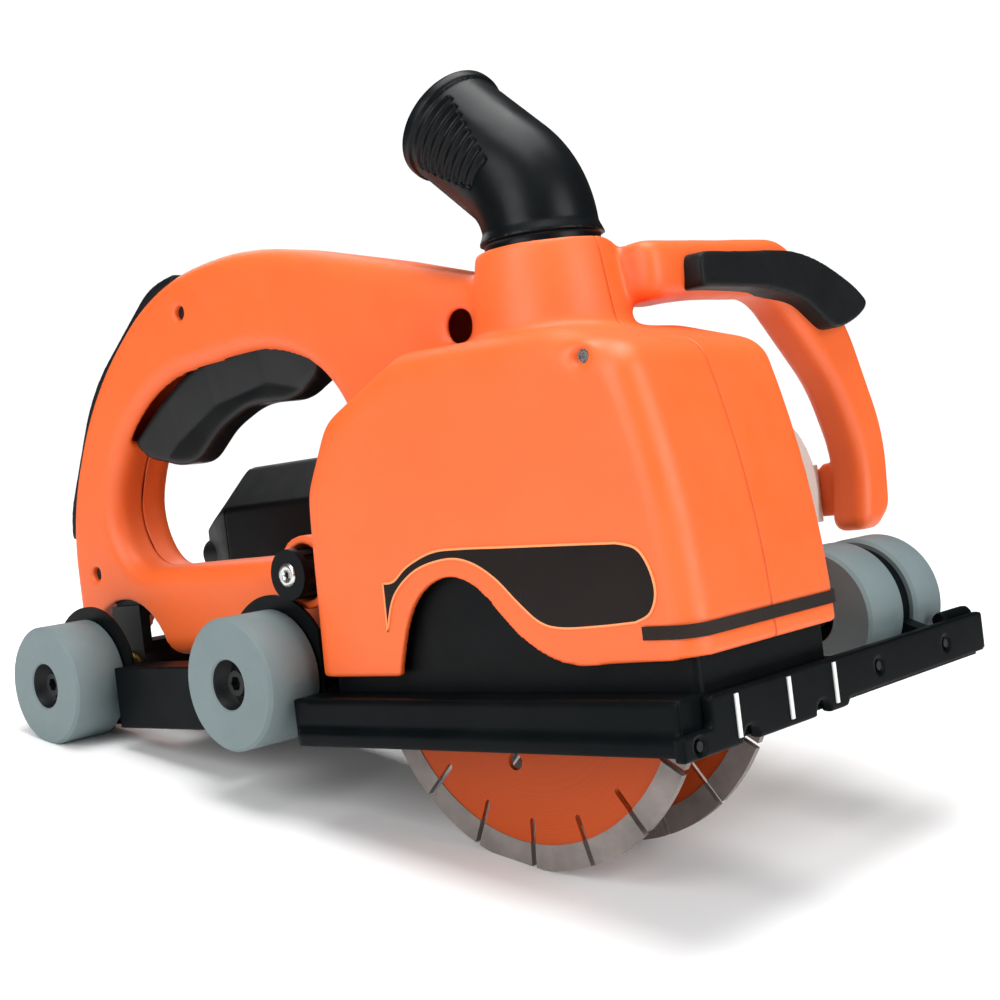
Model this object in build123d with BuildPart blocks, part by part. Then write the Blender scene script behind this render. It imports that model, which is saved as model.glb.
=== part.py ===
from build123d import *
import math
import os

# Wall chaser with two 150 mm blades. Millimetres. +X points forward to the index plate, -Y is the near
# side, +Z points away from the wall. The origin lies in the rolling plane, below the blade spindle and
# midway between the two blades. The machine is drawn plunged to its full depth, its rest state.

# ---- driving dimensions ----
BLADE_R = 75.0
BLADE_PITCH = 43.0
SPINDLE_Z = 28.7
SEGMENT_COUNT = 17
SEGMENT_T = 2.6
CORE_T = 1.8
CORE_R = 66.0
KERF_W = 2.2
BLADE_BORE_R = 11.1
GULLET_MID_R = 69.5
GULLET_L = 25.0
GULLET_START = -94.4

WHEEL_R = 26.0
WHEEL_BORE_R = 5.0
AXLE_R = 4.95
AXLE_Z = 26.0
REAR_X = -251.0
MID_X = -119.5
FRONT_X = 54.0
NEAR_WHEEL_Y = (-60.0, -35.0)
FAR_WHEEL_Y = (35.5, 60.5)
FRONT_INNER_Y = (79.0, 104.0)
FRONT_OUTER_Y = (113.0, 134.0)

GUARD_Y = (-42.0, 46.0)
GUARD_FRONT_X = 90.0
WALL = 3.0
SEAM_Y = 2.0
SKIRT_Y = (-36.5, 38.5)
SKIRT_T = 2.5
SKIRT_GAP = 2.0

HANDLE_Y = (-15.0, 19.0)
HANDLE_WALL = 3.2

NECK_X = 12.0
NECK_TOP_Z = 172.0
NECK_TOP_R = 24.2
NECK_BORE_R = 21.8

MOTOR_Y = 104.0
MOTOR_Z = 72.0
MOTOR_BACK_X = -292.0
GEARHEAD_X = (-48.0, 30.0)
GEARHEAD_R = 40.0

CROSS_X = -10.0
BEVEL_TEETH = (10, 36)
BEVEL_MODULE = 1.5
SPUR_TEETH = (32, 26)
SPUR_DISTANCE = math.hypot(CROSS_X, MOTOR_Z - SPINDLE_Z)
SPUR_MODULE = 2 * SPUR_DISTANCE / sum(SPUR_TEETH)
GEAR_Y = (58.0, 68.0)

# spindle group: everything that turns with the blades
SPINDLE_R = 8.0
SPINDLE_Y = (-31.0, 76.0)
FLANGE_R = 21.0

# gears
CROSS_R = 6.0
LINE_OF_CENTRES = math.degrees(math.atan2(MOTOR_Z - SPINDLE_Z, CROSS_X))
PINION_R = BEVEL_TEETH[0] * BEVEL_MODULE / 2
WHEEL_PITCH_R = BEVEL_TEETH[1] * BEVEL_MODULE / 2
CONE_L = math.hypot(PINION_R, WHEEL_PITCH_R)
FACE_SHARE = 0.74
PINION_BORE_R = 3.5

# rotor: everything on the motor shaft
ROTOR_R = 22.0
SHAFT_R = 5.0
CORE_X = (-185.0, -125.0)
COMMUTATOR_X = (-225.0, -207.0)
COMMUTATOR_R = 13.0
FAN_X = (-92.0, -76.0)
FAN_R = 34.0

# motor
MOTOR_HALF = 42.0
MOTOR_TOP = 114.0
MOTOR_FLOOR = 33.0
CAP_X = -268.0
STATOR_R = 35.5
BRUSH_X = (COMMUTATOR_X[0] + COMMUTATOR_X[1]) / 2

# gear housing
CASE_Y = (49.3, 76.0)
COVER_Y = (46.3, 49.3)
CASE_WALL = 2.8

# wheels and axles
HUB_RECESS = 4.0

# base
RAIL_X = (-88.0, 88.0)
RAIL_Y = (-52.5, -36.8)
RAIL_Z = (2.0, 19.4)
BEAM_NEAR_Y = (-33.0, -26.0)
BEAM_FAR_Y = (26.0, 33.0)
BEAM_TOP = 31.0
PLATE_X = (88.0, 92.0)
PLATE_Y = (-57.0, 141.0)
PLATE_SCREWS = ((-49, 5), (60, 11), (110, 11))
GUARD_FRONT_R = GUARD_FRONT_X - REAR_X
SKIRT_FRONT_R = GUARD_FRONT_R - WALL - SKIRT_GAP
SKIRT_REAR_TOP = 56.0
KNOB = (-102.5, 65.0)
KNOB_DISTANCE = math.hypot(KNOB[0] - REAR_X, KNOB[1] - AXLE_Z)
KNOB_ANGLE = math.degrees(math.atan2(KNOB[1] - AXLE_Z, KNOB[0] - REAR_X))
PLUNGE = 11.5
STEM_R = 4.0

# orange body shells: guard, neck and rear handle moulded together, split at the seam
PIVOT_CLEAR_R = 32.0
GUARD_CORNER_R = 11.0
HANDLE_OUTER = [
    (-50, 31), (-214, 31), (-291, 36), (-291, 99), (-260, 156), (-205, 196), (-140, 202),
    (-60, 180), (-4, 163), (2, 124), (-50, 112),
]
HANDLE_OUTER_R = [10, 30, 14, 105, 138, 108, 175, 60, 10, 12, 12]
HANDLE_INNER = [
    (-84, 71), (-240, 71), (-254, 95), (-238, 132), (-200, 153), (-130, 157), (-98, 145), (-84, 122),
]
HANDLE_INNER_R = [8, 22, 28, 72, 80, 80, 48, 34]
HANDLE_EDGE_R = 9.0
SHELL_SCREWS = [(-182, 180), (-270, 71), (-18, 148), (57, 127)]
BIG_HOLE = (-18, 148)
SCREW_BOSS_R = 5.5
ARCH_POINTS = [(-42, 25.4), (-38, 38), (-28.5, 53.5), (-12, 60), (3, 54), (14, 42.5), (26, 33.5), (46, 28.4)]
TRIGGER_POINTS = [
    (-231, 121), (-211, 115.5), (-196, 115.5), (-178, 128.5), (-155, 136.5), (-126, 134.5), (-107, 144),
    (-105, 157), (-142, 166), (-178, 161), (-208, 148), (-238, 129),
]
TRIGGER_R = [12, 40, 20, 50, 50, 30, 10, 5, 75, 90, 120, 3.5]
TRIGGER_Y = (-8.5, 12.5)
TRIGGER_PIVOT = (-122, 152)
TRIGGER_PULL = 4.0
VENT_Z = (36.2, 40.6)
KNOB_WELL_R = 14.5
HANGER_X = (-262, -240)
HANGER_Y = (-11, 15)
HANGER_TOP_Z = 66

# trims on the body
GRIP_OUTLINE = [
    (-190, 200), (-209, 197.5), (-263.5, 158), (-294.6, 101), (-294.6, 90), (-284, 90), (-283, 101),
    (-252, 152), (-203, 187), (-190, 189),
]
GRIP_HEAD_R = 40.0
GRIP_BEND_R = 90.0
GRIP_TAIL_R = 40.0

# dust elbow
BEND_DEG = 48.0
BEND_R = 33.0
BEND_Z = 176.0
ELBOW_R = 20.8
ELBOW_BORE_R = 17.5
LEG = 35.8

# front loop handle
FRONT_HANDLE_X = (32.0, 50.0)
FH_OUTER = [(14, 168.5), (100, 171), (140, 145), (163, 92), (160, 60), (150, 53.5), (136, 53.5)]
FH_OUTER_R = [3, 22, 60, 60, 10, 4, 4]
FH_INNER = [(138, 62), (142, 82), (128, 112), (90, 149), (14, 147)]
FH_INNER_R = [10, 40, 60, 26, 3]
FH_SPLIT_X = 41.0

# plunge pivot
BUSH_R = 8.0


# ---- planes and small helpers ----
def side_plane(y):
    """Plane across the tool at y: local x is forward, local y is up, and it extrudes towards -Y."""
    return Plane(origin=(0, y, 0), x_dir=(1, 0, 0), z_dir=(0, -1, 0))


def front_plane(x):
    """Plane at x: local x is +Y, local y is up, and it extrudes towards +X."""
    return Plane(origin=(x, 0, 0), x_dir=(0, 1, 0), z_dir=(1, 0, 0))


def finish(part, name):
    part.label = name
    export_step(part, f"parts/{name}.step")


def rod_y(x, z, y_low, y_high, r, bore=0.0):
    """A round bar or tube along Y."""
    with BuildPart() as bar:
        with BuildSketch(side_plane(y_high)):
            with Locations((x, z)):
                Circle(r)
                if bore > 0:
                    Circle(bore, mode=Mode.SUBTRACT)
        extrude(amount=y_high - y_low)
    return bar.part


def rod_x(y, z, x_low, x_high, r, bore=0.0):
    """A round bar or tube along X."""
    with BuildPart() as bar:
        with BuildSketch(front_plane(x_low)):
            with Locations((y, z)):
                Circle(r)
                if bore > 0:
                    Circle(bore, mode=Mode.SUBTRACT)
        extrude(amount=x_high - x_low)
    return bar.part


def block(x, y, z):
    """A box between the pairs x, y and z."""
    with BuildPart() as solid:
        with Locations(((x[0] + x[1]) / 2, (y[0] + y[1]) / 2, (z[0] + z[1]) / 2)):
            Box(x[1] - x[0], y[1] - y[0], z[1] - z[0])
    return solid.part


def slab(points, radii, y_low, y_high):
    """A plate with a rounded outline given in (x, z), between two y planes."""
    with BuildPart() as plate:
        with BuildSketch(side_plane(y_high)):
            with BuildLine():
                FilletPolyline(*points, radius=radii, close=True)
            make_face()
        extrude(amount=y_high - y_low)
    return plate.part


def pivot_arc_x(radius, z):
    """x of the point at height z on a circle about the plunge pivot, the rear axle."""
    return REAR_X + math.sqrt(radius ** 2 - (z - AXLE_Z) ** 2)


os.makedirs("parts", exist_ok=True)


# ---- blades ----
def blade_core(y_mid, name):
    """Steel disc with a bore, gullet slots and two small relief holes."""
    with BuildPart() as core:
        with BuildSketch(side_plane(y_mid + CORE_T / 2)):
            with Locations((0, SPINDLE_Z)):
                Circle(CORE_R)
                Circle(BLADE_BORE_R, mode=Mode.SUBTRACT)
                with PolarLocations(GULLET_MID_R, SEGMENT_COUNT, start_angle=GULLET_START):
                    SlotOverall(GULLET_L, KERF_W, mode=Mode.SUBTRACT)
                with PolarLocations(38, 6, start_angle=-104):
                    Circle(3.2, mode=Mode.SUBTRACT)
        extrude(amount=CORE_T)
    finish(core.part, name)


def blade_segments(y_mid, name):
    """Diamond segments sintered on the rim, one between each two gullets."""
    with BuildPart() as ring:
        with BuildSketch(side_plane(y_mid + SEGMENT_T / 2)):
            with Locations((0, SPINDLE_Z)):
                Circle(BLADE_R)
                Circle(CORE_R, mode=Mode.SUBTRACT)
                with PolarLocations(GULLET_MID_R, SEGMENT_COUNT, start_angle=GULLET_START):
                    SlotOverall(GULLET_L, KERF_W, mode=Mode.SUBTRACT)
        extrude(amount=SEGMENT_T)
    finish(ring.part, name)


for side, y_mid in (("near", -BLADE_PITCH / 2), ("far", BLADE_PITCH / 2)):
    blade_core(y_mid, f"blade_{side}_core")
    blade_segments(y_mid, f"blade_{side}_segments")


# ---- spindle group: everything that turns with the blades ----

finish(rod_y(0, SPINDLE_Z, *SPINDLE_Y, SPINDLE_R), "spindle")

with BuildPart() as inner_flange:
    with BuildSketch(side_plane(29.0)):
        with Locations((0, SPINDLE_Z)):
            Circle(FLANGE_R)
            Circle(SPINDLE_R, mode=Mode.SUBTRACT)
    extrude(amount=29.0 - (BLADE_PITCH + CORE_T) / 2)
    far_circles = inner_flange.edges().filter_by(GeomType.CIRCLE).group_by(Axis.Y)[-1]
    chamfer(far_circles.sort_by(SortBy.RADIUS)[-1], 1)
finish(inner_flange.part, "inner_flange")

with BuildPart() as blade_spacer:
    gap = (BLADE_PITCH - CORE_T) / 2
    with BuildSketch(side_plane(gap)):
        with Locations((0, SPINDLE_Z)):
            Circle(FLANGE_R)
            Circle(SPINDLE_R, mode=Mode.SUBTRACT)
    extrude(amount=2 * gap)
    with BuildSketch(side_plane(gap - 3)):
        with Locations((0, SPINDLE_Z)):
            Circle(FLANGE_R + 1)
            Circle(15, mode=Mode.SUBTRACT)
    extrude(amount=2 * gap - 6, mode=Mode.SUBTRACT)
finish(blade_spacer.part, "blade_spacer")

with BuildPart() as clamp_nut:
    face_y = -(BLADE_PITCH + CORE_T) / 2
    with BuildSketch(side_plane(face_y)):
        with Locations((0, SPINDLE_Z)):
            Circle(FLANGE_R)
            Circle(SPINDLE_R, mode=Mode.SUBTRACT)
            with PolarLocations(15, 4):
                Circle(2.4, mode=Mode.SUBTRACT)
    extrude(amount=6.5)
    chamfer(clamp_nut.edges().filter_by(GeomType.CIRCLE).group_by(Axis.Y)[0].sort_by(SortBy.RADIUS)[-1], 1.5)
finish(clamp_nut.part, "clamp_nut")


# ---- gears ----
def spur_gear(teeth, module, x, z, y_low, y_high, bore, phase_deg):
    """Spur gear with straight-flanked teeth, thinned a little so that the pair runs with backlash."""
    pitch_r = teeth * module / 2
    root_r = pitch_r - 1.2 * module
    tip_r = pitch_r + 0.9 * module
    step = 360 / teeth
    with BuildPart() as gear:
        with BuildSketch(side_plane(y_high)):
            with Locations((x, z)):
                Circle(root_r)
                with PolarLocations(0, teeth, start_angle=phase_deg):
                    tooth = tooth_outline(pitch_r, root_r, tip_r, step)
                    Polygon(*tooth, align=None)
                Circle(bore, mode=Mode.SUBTRACT)
        extrude(amount=y_high - y_low)
    return gear.part


def tooth_outline(pitch_r, root_r, tip_r, step_deg):
    """Corner points of one tooth along local x: wide at the root, narrow at the tip."""
    corners = []
    for r, share in ((root_r - 0.4, 0.34), (pitch_r, 0.225), (tip_r, 0.10)):
        half = math.radians(step_deg * share)
        corners.append((r * math.cos(half), r * math.sin(half)))
    mirrored = [(a, -b) for a, b in reversed(corners)]
    return corners + mirrored


spur_big, spur_small = SPUR_TEETH
driven_gear = spur_gear(
    spur_small, SPUR_MODULE, 0, SPINDLE_Z, *GEAR_Y, SPINDLE_R, LINE_OF_CENTRES + 180 / spur_small
)
finish(driven_gear, "driven_gear")
cross_gear = spur_gear(spur_big, SPUR_MODULE, CROSS_X, MOTOR_Z, *GEAR_Y, CROSS_R, LINE_OF_CENTRES - 180)
finish(cross_gear, "cross_gear")

finish(rod_y(CROSS_X, MOTOR_Z, 49.6, 97.0, CROSS_R), "cross_shaft")

# Bevel pair: both pitch cones meet where the rotor axis crosses the cross shaft.
pinion_teeth, wheel_teeth = BEVEL_TEETH


def bevel_gear(teeth, pitch_r, apex_distance, back, bore, phase_deg):
    """Straight bevel gear on the Z axis with its apex at the origin: lofted teeth on a root cone."""
    cone = math.atan2(pitch_r, apex_distance)
    half_pitch = math.pi * pitch_r / teeth
    sections = []
    root = []
    for scale in (1.0, FACE_SHARE):
        length = CONE_L * scale
        plane = Plane(
            origin=(length * math.sin(cone), 0, length * math.cos(cone)),
            x_dir=(0, 1, 0),
            z_dir=(math.sin(cone), 0, math.cos(cone)),
        )
        sizes = ((-1.3, 0.62), (0, 0.42), (0.8, 0.22))
        flank = [(half_pitch * w * scale, -h * BEVEL_MODULE * scale) for h, w in sizes]
        with BuildSketch(plane) as section:
            Polygon(*flank, *[(-w, h) for w, h in reversed(flank)], align=None)
        sections.append(section.sketch)
        drop = 1.15 * BEVEL_MODULE * scale
        root.append((
            length * math.sin(cone) - drop * math.cos(cone),
            length * math.cos(cone) + drop * math.sin(cone),
        ))
    tooth = loft(sections, ruled=True, mode=Mode.PRIVATE)
    with BuildPart() as gear:
        with BuildSketch(Plane.XZ):
            with BuildLine():
                Polyline((bore, root[1][1]), root[1], root[0], (root[0][0], back), (bore, back), close=True)
            make_face()
        revolve(axis=Axis.Z)
        with PolarLocations(0, teeth, start_angle=phase_deg):
            add(tooth)
    return gear.part


toward_rotor = Plane(origin=(CROSS_X, MOTOR_Y, MOTOR_Z), x_dir=(0, -1, 0), z_dir=(-1, 0, 0))
toward_blades = Plane(origin=(CROSS_X, MOTOR_Y, MOTOR_Z), x_dir=(-1, 0, 0), z_dir=(0, -1, 0))
pinion = bevel_gear(
    pinion_teeth, PINION_R, WHEEL_PITCH_R, WHEEL_PITCH_R + 2.4, PINION_BORE_R, 180 / pinion_teeth
)
finish(toward_rotor.location * pinion, "bevel_pinion")
crown = bevel_gear(wheel_teeth, WHEEL_PITCH_R, PINION_R, PINION_R + 5, CROSS_R, 0)
with BuildPart() as bevel_wheel:
    add(toward_blades.location * crown)
    add(rod_y(CROSS_X, MOTOR_Z, 85, MOTOR_Y - PINION_R - 5, 11, CROSS_R))
finish(bevel_wheel.part, "bevel_wheel")


# ---- rotor: everything on the motor shaft ----
pinion_back = CROSS_X - WHEEL_PITCH_R

with BuildPart() as rotor_shaft:
    add(rod_x(MOTOR_Y, MOTOR_Z, -272, -44, SHAFT_R))
    add(rod_x(MOTOR_Y, MOTOR_Z, -44, pinion_back + 7.5, PINION_BORE_R))
finish(rotor_shaft.part, "rotor_shaft")

with BuildPart() as rotor_core:
    with BuildSketch(front_plane(CORE_X[0])):
        with Locations((MOTOR_Y, MOTOR_Z)):
            Circle(ROTOR_R)
            Circle(SHAFT_R, mode=Mode.SUBTRACT)
            with PolarLocations(ROTOR_R - 2.5, 14):
                Rectangle(6, 1.8, mode=Mode.SUBTRACT)
    extrude(amount=CORE_X[1] - CORE_X[0])
finish(rotor_core.part, "rotor_core")

with BuildPart() as rotor_windings:
    for x_low, x_high in ((CORE_X[0] - 13, CORE_X[0]), (CORE_X[1], CORE_X[1] + 12)):
        add(rod_x(MOTOR_Y, MOTOR_Z, x_low, x_high, ROTOR_R - 3, SHAFT_R))
    chamfer(rotor_windings.edges().filter_by(GeomType.CIRCLE).filter_by(lambda e: e.radius > 15), 3)
finish(rotor_windings.part, "rotor_windings")

finish(rod_x(MOTOR_Y, MOTOR_Z, *COMMUTATOR_X, COMMUTATOR_R, SHAFT_R), "commutator")

with BuildPart() as cooling_fan:
    add(rod_x(MOTOR_Y, MOTOR_Z, FAN_X[1] - 3, FAN_X[1], FAN_R, SHAFT_R))
    add(rod_x(MOTOR_Y, MOTOR_Z, *FAN_X, 10, SHAFT_R))
    with BuildSketch(front_plane(FAN_X[0] + 3)):
        with Locations((MOTOR_Y, MOTOR_Z)):
            with PolarLocations(21, 11):
                Rectangle(24, 1.6, rotation=18)
    extrude(amount=FAN_X[1] - FAN_X[0] - 4)
finish(cooling_fan.part, "cooling_fan")


# ---- motor ----


def motor_outline(inset):
    """Chamfered box section of the motor housing; the near top chamfer is the large one."""
    y_low = MOTOR_Y - MOTOR_HALF + inset
    y_high = MOTOR_Y + MOTOR_HALF - inset
    z_low = MOTOR_FLOOR + inset
    z_high = MOTOR_TOP - inset
    big = 20 - inset * 0.6
    small = 14 - inset * 0.6
    return [
        (y_low, z_low + small),
        (y_low, z_high - big),
        (y_low + big, z_high),
        (y_high - big, z_high),
        (y_high, z_high - big),
        (y_high, z_low + small),
        (y_high - small, z_low),
        (y_low + small, z_low),
    ]


def motor_prism(x_low, x_high, inset, mode=Mode.ADD):
    """The motor section between two x planes, added to or cut from the part being built."""
    with BuildSketch(front_plane(x_low)) as section:
        Polygon(*motor_outline(inset), align=None)
    extrude(section.sketch, amount=x_high - x_low, mode=mode)


with BuildPart() as motor_housing:
    motor_prism(CAP_X, GEARHEAD_X[0], 0)
    fillet(motor_housing.edges().filter_by(Axis.X), 3)
    motor_prism(CAP_X - 1, GEARHEAD_X[0] - 4, 3, Mode.SUBTRACT)
    add(rod_x(MOTOR_Y, MOTOR_Z, -60, GEARHEAD_X[0], 24))
    with BuildSketch(front_plane(-61)):
        with Locations((MOTOR_Y, MOTOR_Z)):
            Circle(13)
    extrude(amount=20, mode=Mode.SUBTRACT)
    with BuildSketch(Plane.XY.offset(MOTOR_FLOOR - 1)):
        with Locations((-84, MOTOR_Y)):
            with GridLocations(9, 0, 4, 1):
                SlotOverall(40, 4, rotation=90)
    extrude(amount=6, mode=Mode.SUBTRACT)
finish(motor_housing.part, "motor_housing")

with BuildPart() as motor_end_cap:
    motor_prism(MOTOR_BACK_X, CAP_X, 0)
    fillet(motor_end_cap.edges().filter_by(Axis.X), 3)
    chamfer(motor_end_cap.faces().sort_by(Axis.X)[0].edges(), 2)
    motor_prism(MOTOR_BACK_X + 5, CAP_X, 5, Mode.SUBTRACT)
    add(rod_x(MOTOR_Y, MOTOR_Z, MOTOR_BACK_X + 3, CAP_X, 17))
    with BuildSketch(front_plane(CAP_X - 9)):
        with Locations((MOTOR_Y, MOTOR_Z)):
            Circle(13)
    extrude(amount=20, mode=Mode.SUBTRACT)
    with BuildSketch(front_plane(MOTOR_BACK_X - 1)):
        for rise in (-1, 1):
            with Locations((MOTOR_Y, MOTOR_Z + rise * 24)):
                with GridLocations(8, 0, 6, 1):
                    SlotOverall(16, 3.5, rotation=90)
    extrude(amount=8, mode=Mode.SUBTRACT)
    with BuildSketch(front_plane(MOTOR_BACK_X - 1)):
        with Locations((MOTOR_Y - 28, MOTOR_Z)):
            Circle(8)
    extrude(amount=10, mode=Mode.SUBTRACT)
finish(motor_end_cap.part, "motor_end_cap")

finish(rod_x(MOTOR_Y - 28, MOTOR_Z, MOTOR_BACK_X - 6, MOTOR_BACK_X + 6, 8, 4.2), "cord_bush")

with BuildPart() as stator_core:
    add(rod_x(MOTOR_Y, MOTOR_Z, CORE_X[0] - 3, CORE_X[1] + 3, STATOR_R, ROTOR_R + 1))
    with BuildSketch(front_plane(CORE_X[0] - 4)):
        with Locations((MOTOR_Y, MOTOR_Z)):
            with PolarLocations(26, 2, start_angle=90):
                SlotOverall(20, 9, rotation=90, mode=Mode.ADD)
    extrude(amount=70, mode=Mode.SUBTRACT)
finish(stator_core.part, "stator_core")

with BuildPart() as field_windings:
    for x_low in (CORE_X[0] - 14, CORE_X[1] + 3.2):
        add(rod_x(MOTOR_Y, MOTOR_Z, x_low, x_low + 10.8, 34, 25))
    with BuildSketch(front_plane(CORE_X[0] - 20)):
        with Locations((MOTOR_Y, MOTOR_Z)):
            with PolarLocations(30, 2):
                Rectangle(14, 16)
    extrude(amount=110, mode=Mode.SUBTRACT)
finish(field_windings.part, "field_windings")

with BuildPart() as carbon_brushes:
    for side in (-1, 1):
        add(block((BRUSH_X - 3, BRUSH_X + 3), sorted((MOTOR_Y + side * 13.3, MOTOR_Y + side * 24)), (68, 76)))
finish(carbon_brushes.part, "carbon_brushes")
with BuildPart() as brush_holders:
    for side in (-1, 1):
        ends = sorted((MOTOR_Y + side * 16, MOTOR_Y + side * 38.6))
        add(block((BRUSH_X - 5, BRUSH_X + 5), ends, (66, 78)))
        ends = sorted((MOTOR_Y + side * 15, MOTOR_Y + side * 36))
        add(block((BRUSH_X - 3, BRUSH_X + 3), ends, (68, 76)), mode=Mode.SUBTRACT)
finish(brush_holders.part, "brush_holders")


# ---- gear housing ----


def gear_case(y_high, depth, shrink, mode=Mode.ADD):
    """The oblong section round the two spur gears, between two y planes."""
    with BuildSketch(side_plane(y_high)) as section:
        with Locations((CROSS_X, MOTOR_Z)):
            Circle(29.5 - shrink)
        with Locations((0, SPINDLE_Z)):
            Circle(25 - shrink)
        make_hull()
    extrude(section.sketch, amount=depth, mode=mode)


with BuildPart() as gear_housing:
    add(rod_x(MOTOR_Y, MOTOR_Z, *GEARHEAD_X, GEARHEAD_R))
    chamfer(gear_housing.edges().sort_by(Axis.X)[-1], 12, 8)
    gear_case(CASE_Y[1], CASE_Y[1] - CASE_Y[0], 0)
    add(block((2, 26), (138, 144.2), (58, 82)))
    add(rod_x(MOTOR_Y, MOTOR_Z, GEARHEAD_X[0] - 1, 19, GEARHEAD_R - 4.5), mode=Mode.SUBTRACT)
    gear_case(72, 30, CASE_WALL, Mode.SUBTRACT)
    gear_case(CASE_Y[1], 5, 1)
    with BuildSketch(side_plane(80)):
        with Locations((0, SPINDLE_Z)):
            Circle(13)
        with Locations((CROSS_X, MOTOR_Z)):
            Circle(13)
    extrude(amount=12, mode=Mode.SUBTRACT)
    with BuildSketch(Plane.XY.offset(MOTOR_Z + 20)):
        with Locations((CROSS_X, 53.2)):
            Circle(3.4)
    extrude(amount=20, mode=Mode.SUBTRACT)
finish(gear_housing.part, "gear_housing")

with BuildPart() as gear_cover:
    gear_case(COVER_Y[1], COVER_Y[1] - COVER_Y[0], 0)
    add(rod_y(0, SPINDLE_Z, 39.3, COVER_Y[0], 16))
    with BuildSketch(side_plane(50)):
        with Locations((0, SPINDLE_Z)):
            Circle(14)
    extrude(amount=9.5, mode=Mode.SUBTRACT)
    with BuildSketch(side_plane(50)):
        with Locations((0, SPINDLE_Z)):
            Circle(11)
    extrude(amount=20, mode=Mode.SUBTRACT)
finish(gear_cover.part, "gear_cover")

with BuildPart() as ball_bearings:
    add(rod_y(0, SPINDLE_Z, 40.5, 49.0, 14, SPINDLE_R))
    add(rod_y(0, SPINDLE_Z, 69.5, 76.0, 13, SPINDLE_R))
    add(rod_y(CROSS_X, MOTOR_Z, 49.5, 56.5, 12.5, CROSS_R))
    add(rod_y(CROSS_X, MOTOR_Z, 69.5, 76.0, 13, CROSS_R))
    add(rod_x(MOTOR_Y, MOTOR_Z, CAP_X - 8.5, CAP_X, 13, SHAFT_R))
    add(rod_x(MOTOR_Y, MOTOR_Z, -59, -48.5, 13, SHAFT_R))
finish(ball_bearings.part, "ball_bearings")

with BuildPart() as spindle_lock:
    with Locations((CROSS_X, 53.2, 104)):
        Cylinder(7, 6, align=(Align.CENTER, Align.CENTER, Align.MIN))
    fillet(spindle_lock.edges().group_by(Axis.Z)[-1], 2)
    with Locations((CROSS_X, 53.2, 98.4)):
        Cylinder(3, 6, align=(Align.CENTER, Align.CENTER, Align.MIN))
finish(spindle_lock.part, "spindle_lock")


# ---- wheels and axles ----
def wheel(x, y_pair, name):
    """Plain moulded wheel: chamfered rims, a shallow dish and a slightly raised hub on both faces."""
    y_low, y_high = y_pair
    with BuildPart() as body:
        add(rod_y(x, AXLE_Z, y_low, y_high, WHEEL_R, WHEEL_BORE_R))
        rims = body.edges().filter_by(GeomType.CIRCLE).filter_by(lambda e: e.radius > WHEEL_R - 1)
        chamfer(rims, 1.2)
        for dish_y in (y_low + 0.5, y_high + 1.5):
            with BuildSketch(side_plane(dish_y)):
                with Locations((x, AXLE_Z)):
                    Circle(WHEEL_R - 4)
                    Circle(WHEEL_BORE_R + 2.5, mode=Mode.SUBTRACT)
            extrude(amount=2, mode=Mode.SUBTRACT)
    finish(body.part, name)


wheel(REAR_X, NEAR_WHEEL_Y, "wheel_rear_near")
wheel(REAR_X, FAR_WHEEL_Y, "wheel_rear_far")
wheel(MID_X, NEAR_WHEEL_Y, "wheel_mid_near")
wheel(FRONT_X, FRONT_INNER_Y, "wheel_front_inner")
wheel(FRONT_X, FRONT_OUTER_Y, "wheel_front_outer")


def axle(x, y_low, y_high):
    """Ground steel axle with a hexagon socket in each end."""
    with BuildPart() as bar:
        add(rod_y(x, AXLE_Z, y_low, y_high, AXLE_R))
        for end in (y_high, y_low + 3):
            with BuildSketch(side_plane(end)):
                with Locations((x, AXLE_Z)):
                    RegularPolygon(3, 6)
            extrude(amount=3, mode=Mode.SUBTRACT)
    return bar.part


finish(axle(REAR_X, NEAR_WHEEL_Y[0] + HUB_RECESS, FAR_WHEEL_Y[1] - HUB_RECESS), "rear_axle")
with BuildPart() as stub_axles:
    add(axle(MID_X, NEAR_WHEEL_Y[0] + HUB_RECESS, -20))
    add(axle(FRONT_X, FRONT_INNER_Y[0] + HUB_RECESS, FRONT_OUTER_Y[1] - HUB_RECESS))
finish(stub_axles.part, "stub_axles")


# ---- base ----

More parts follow.
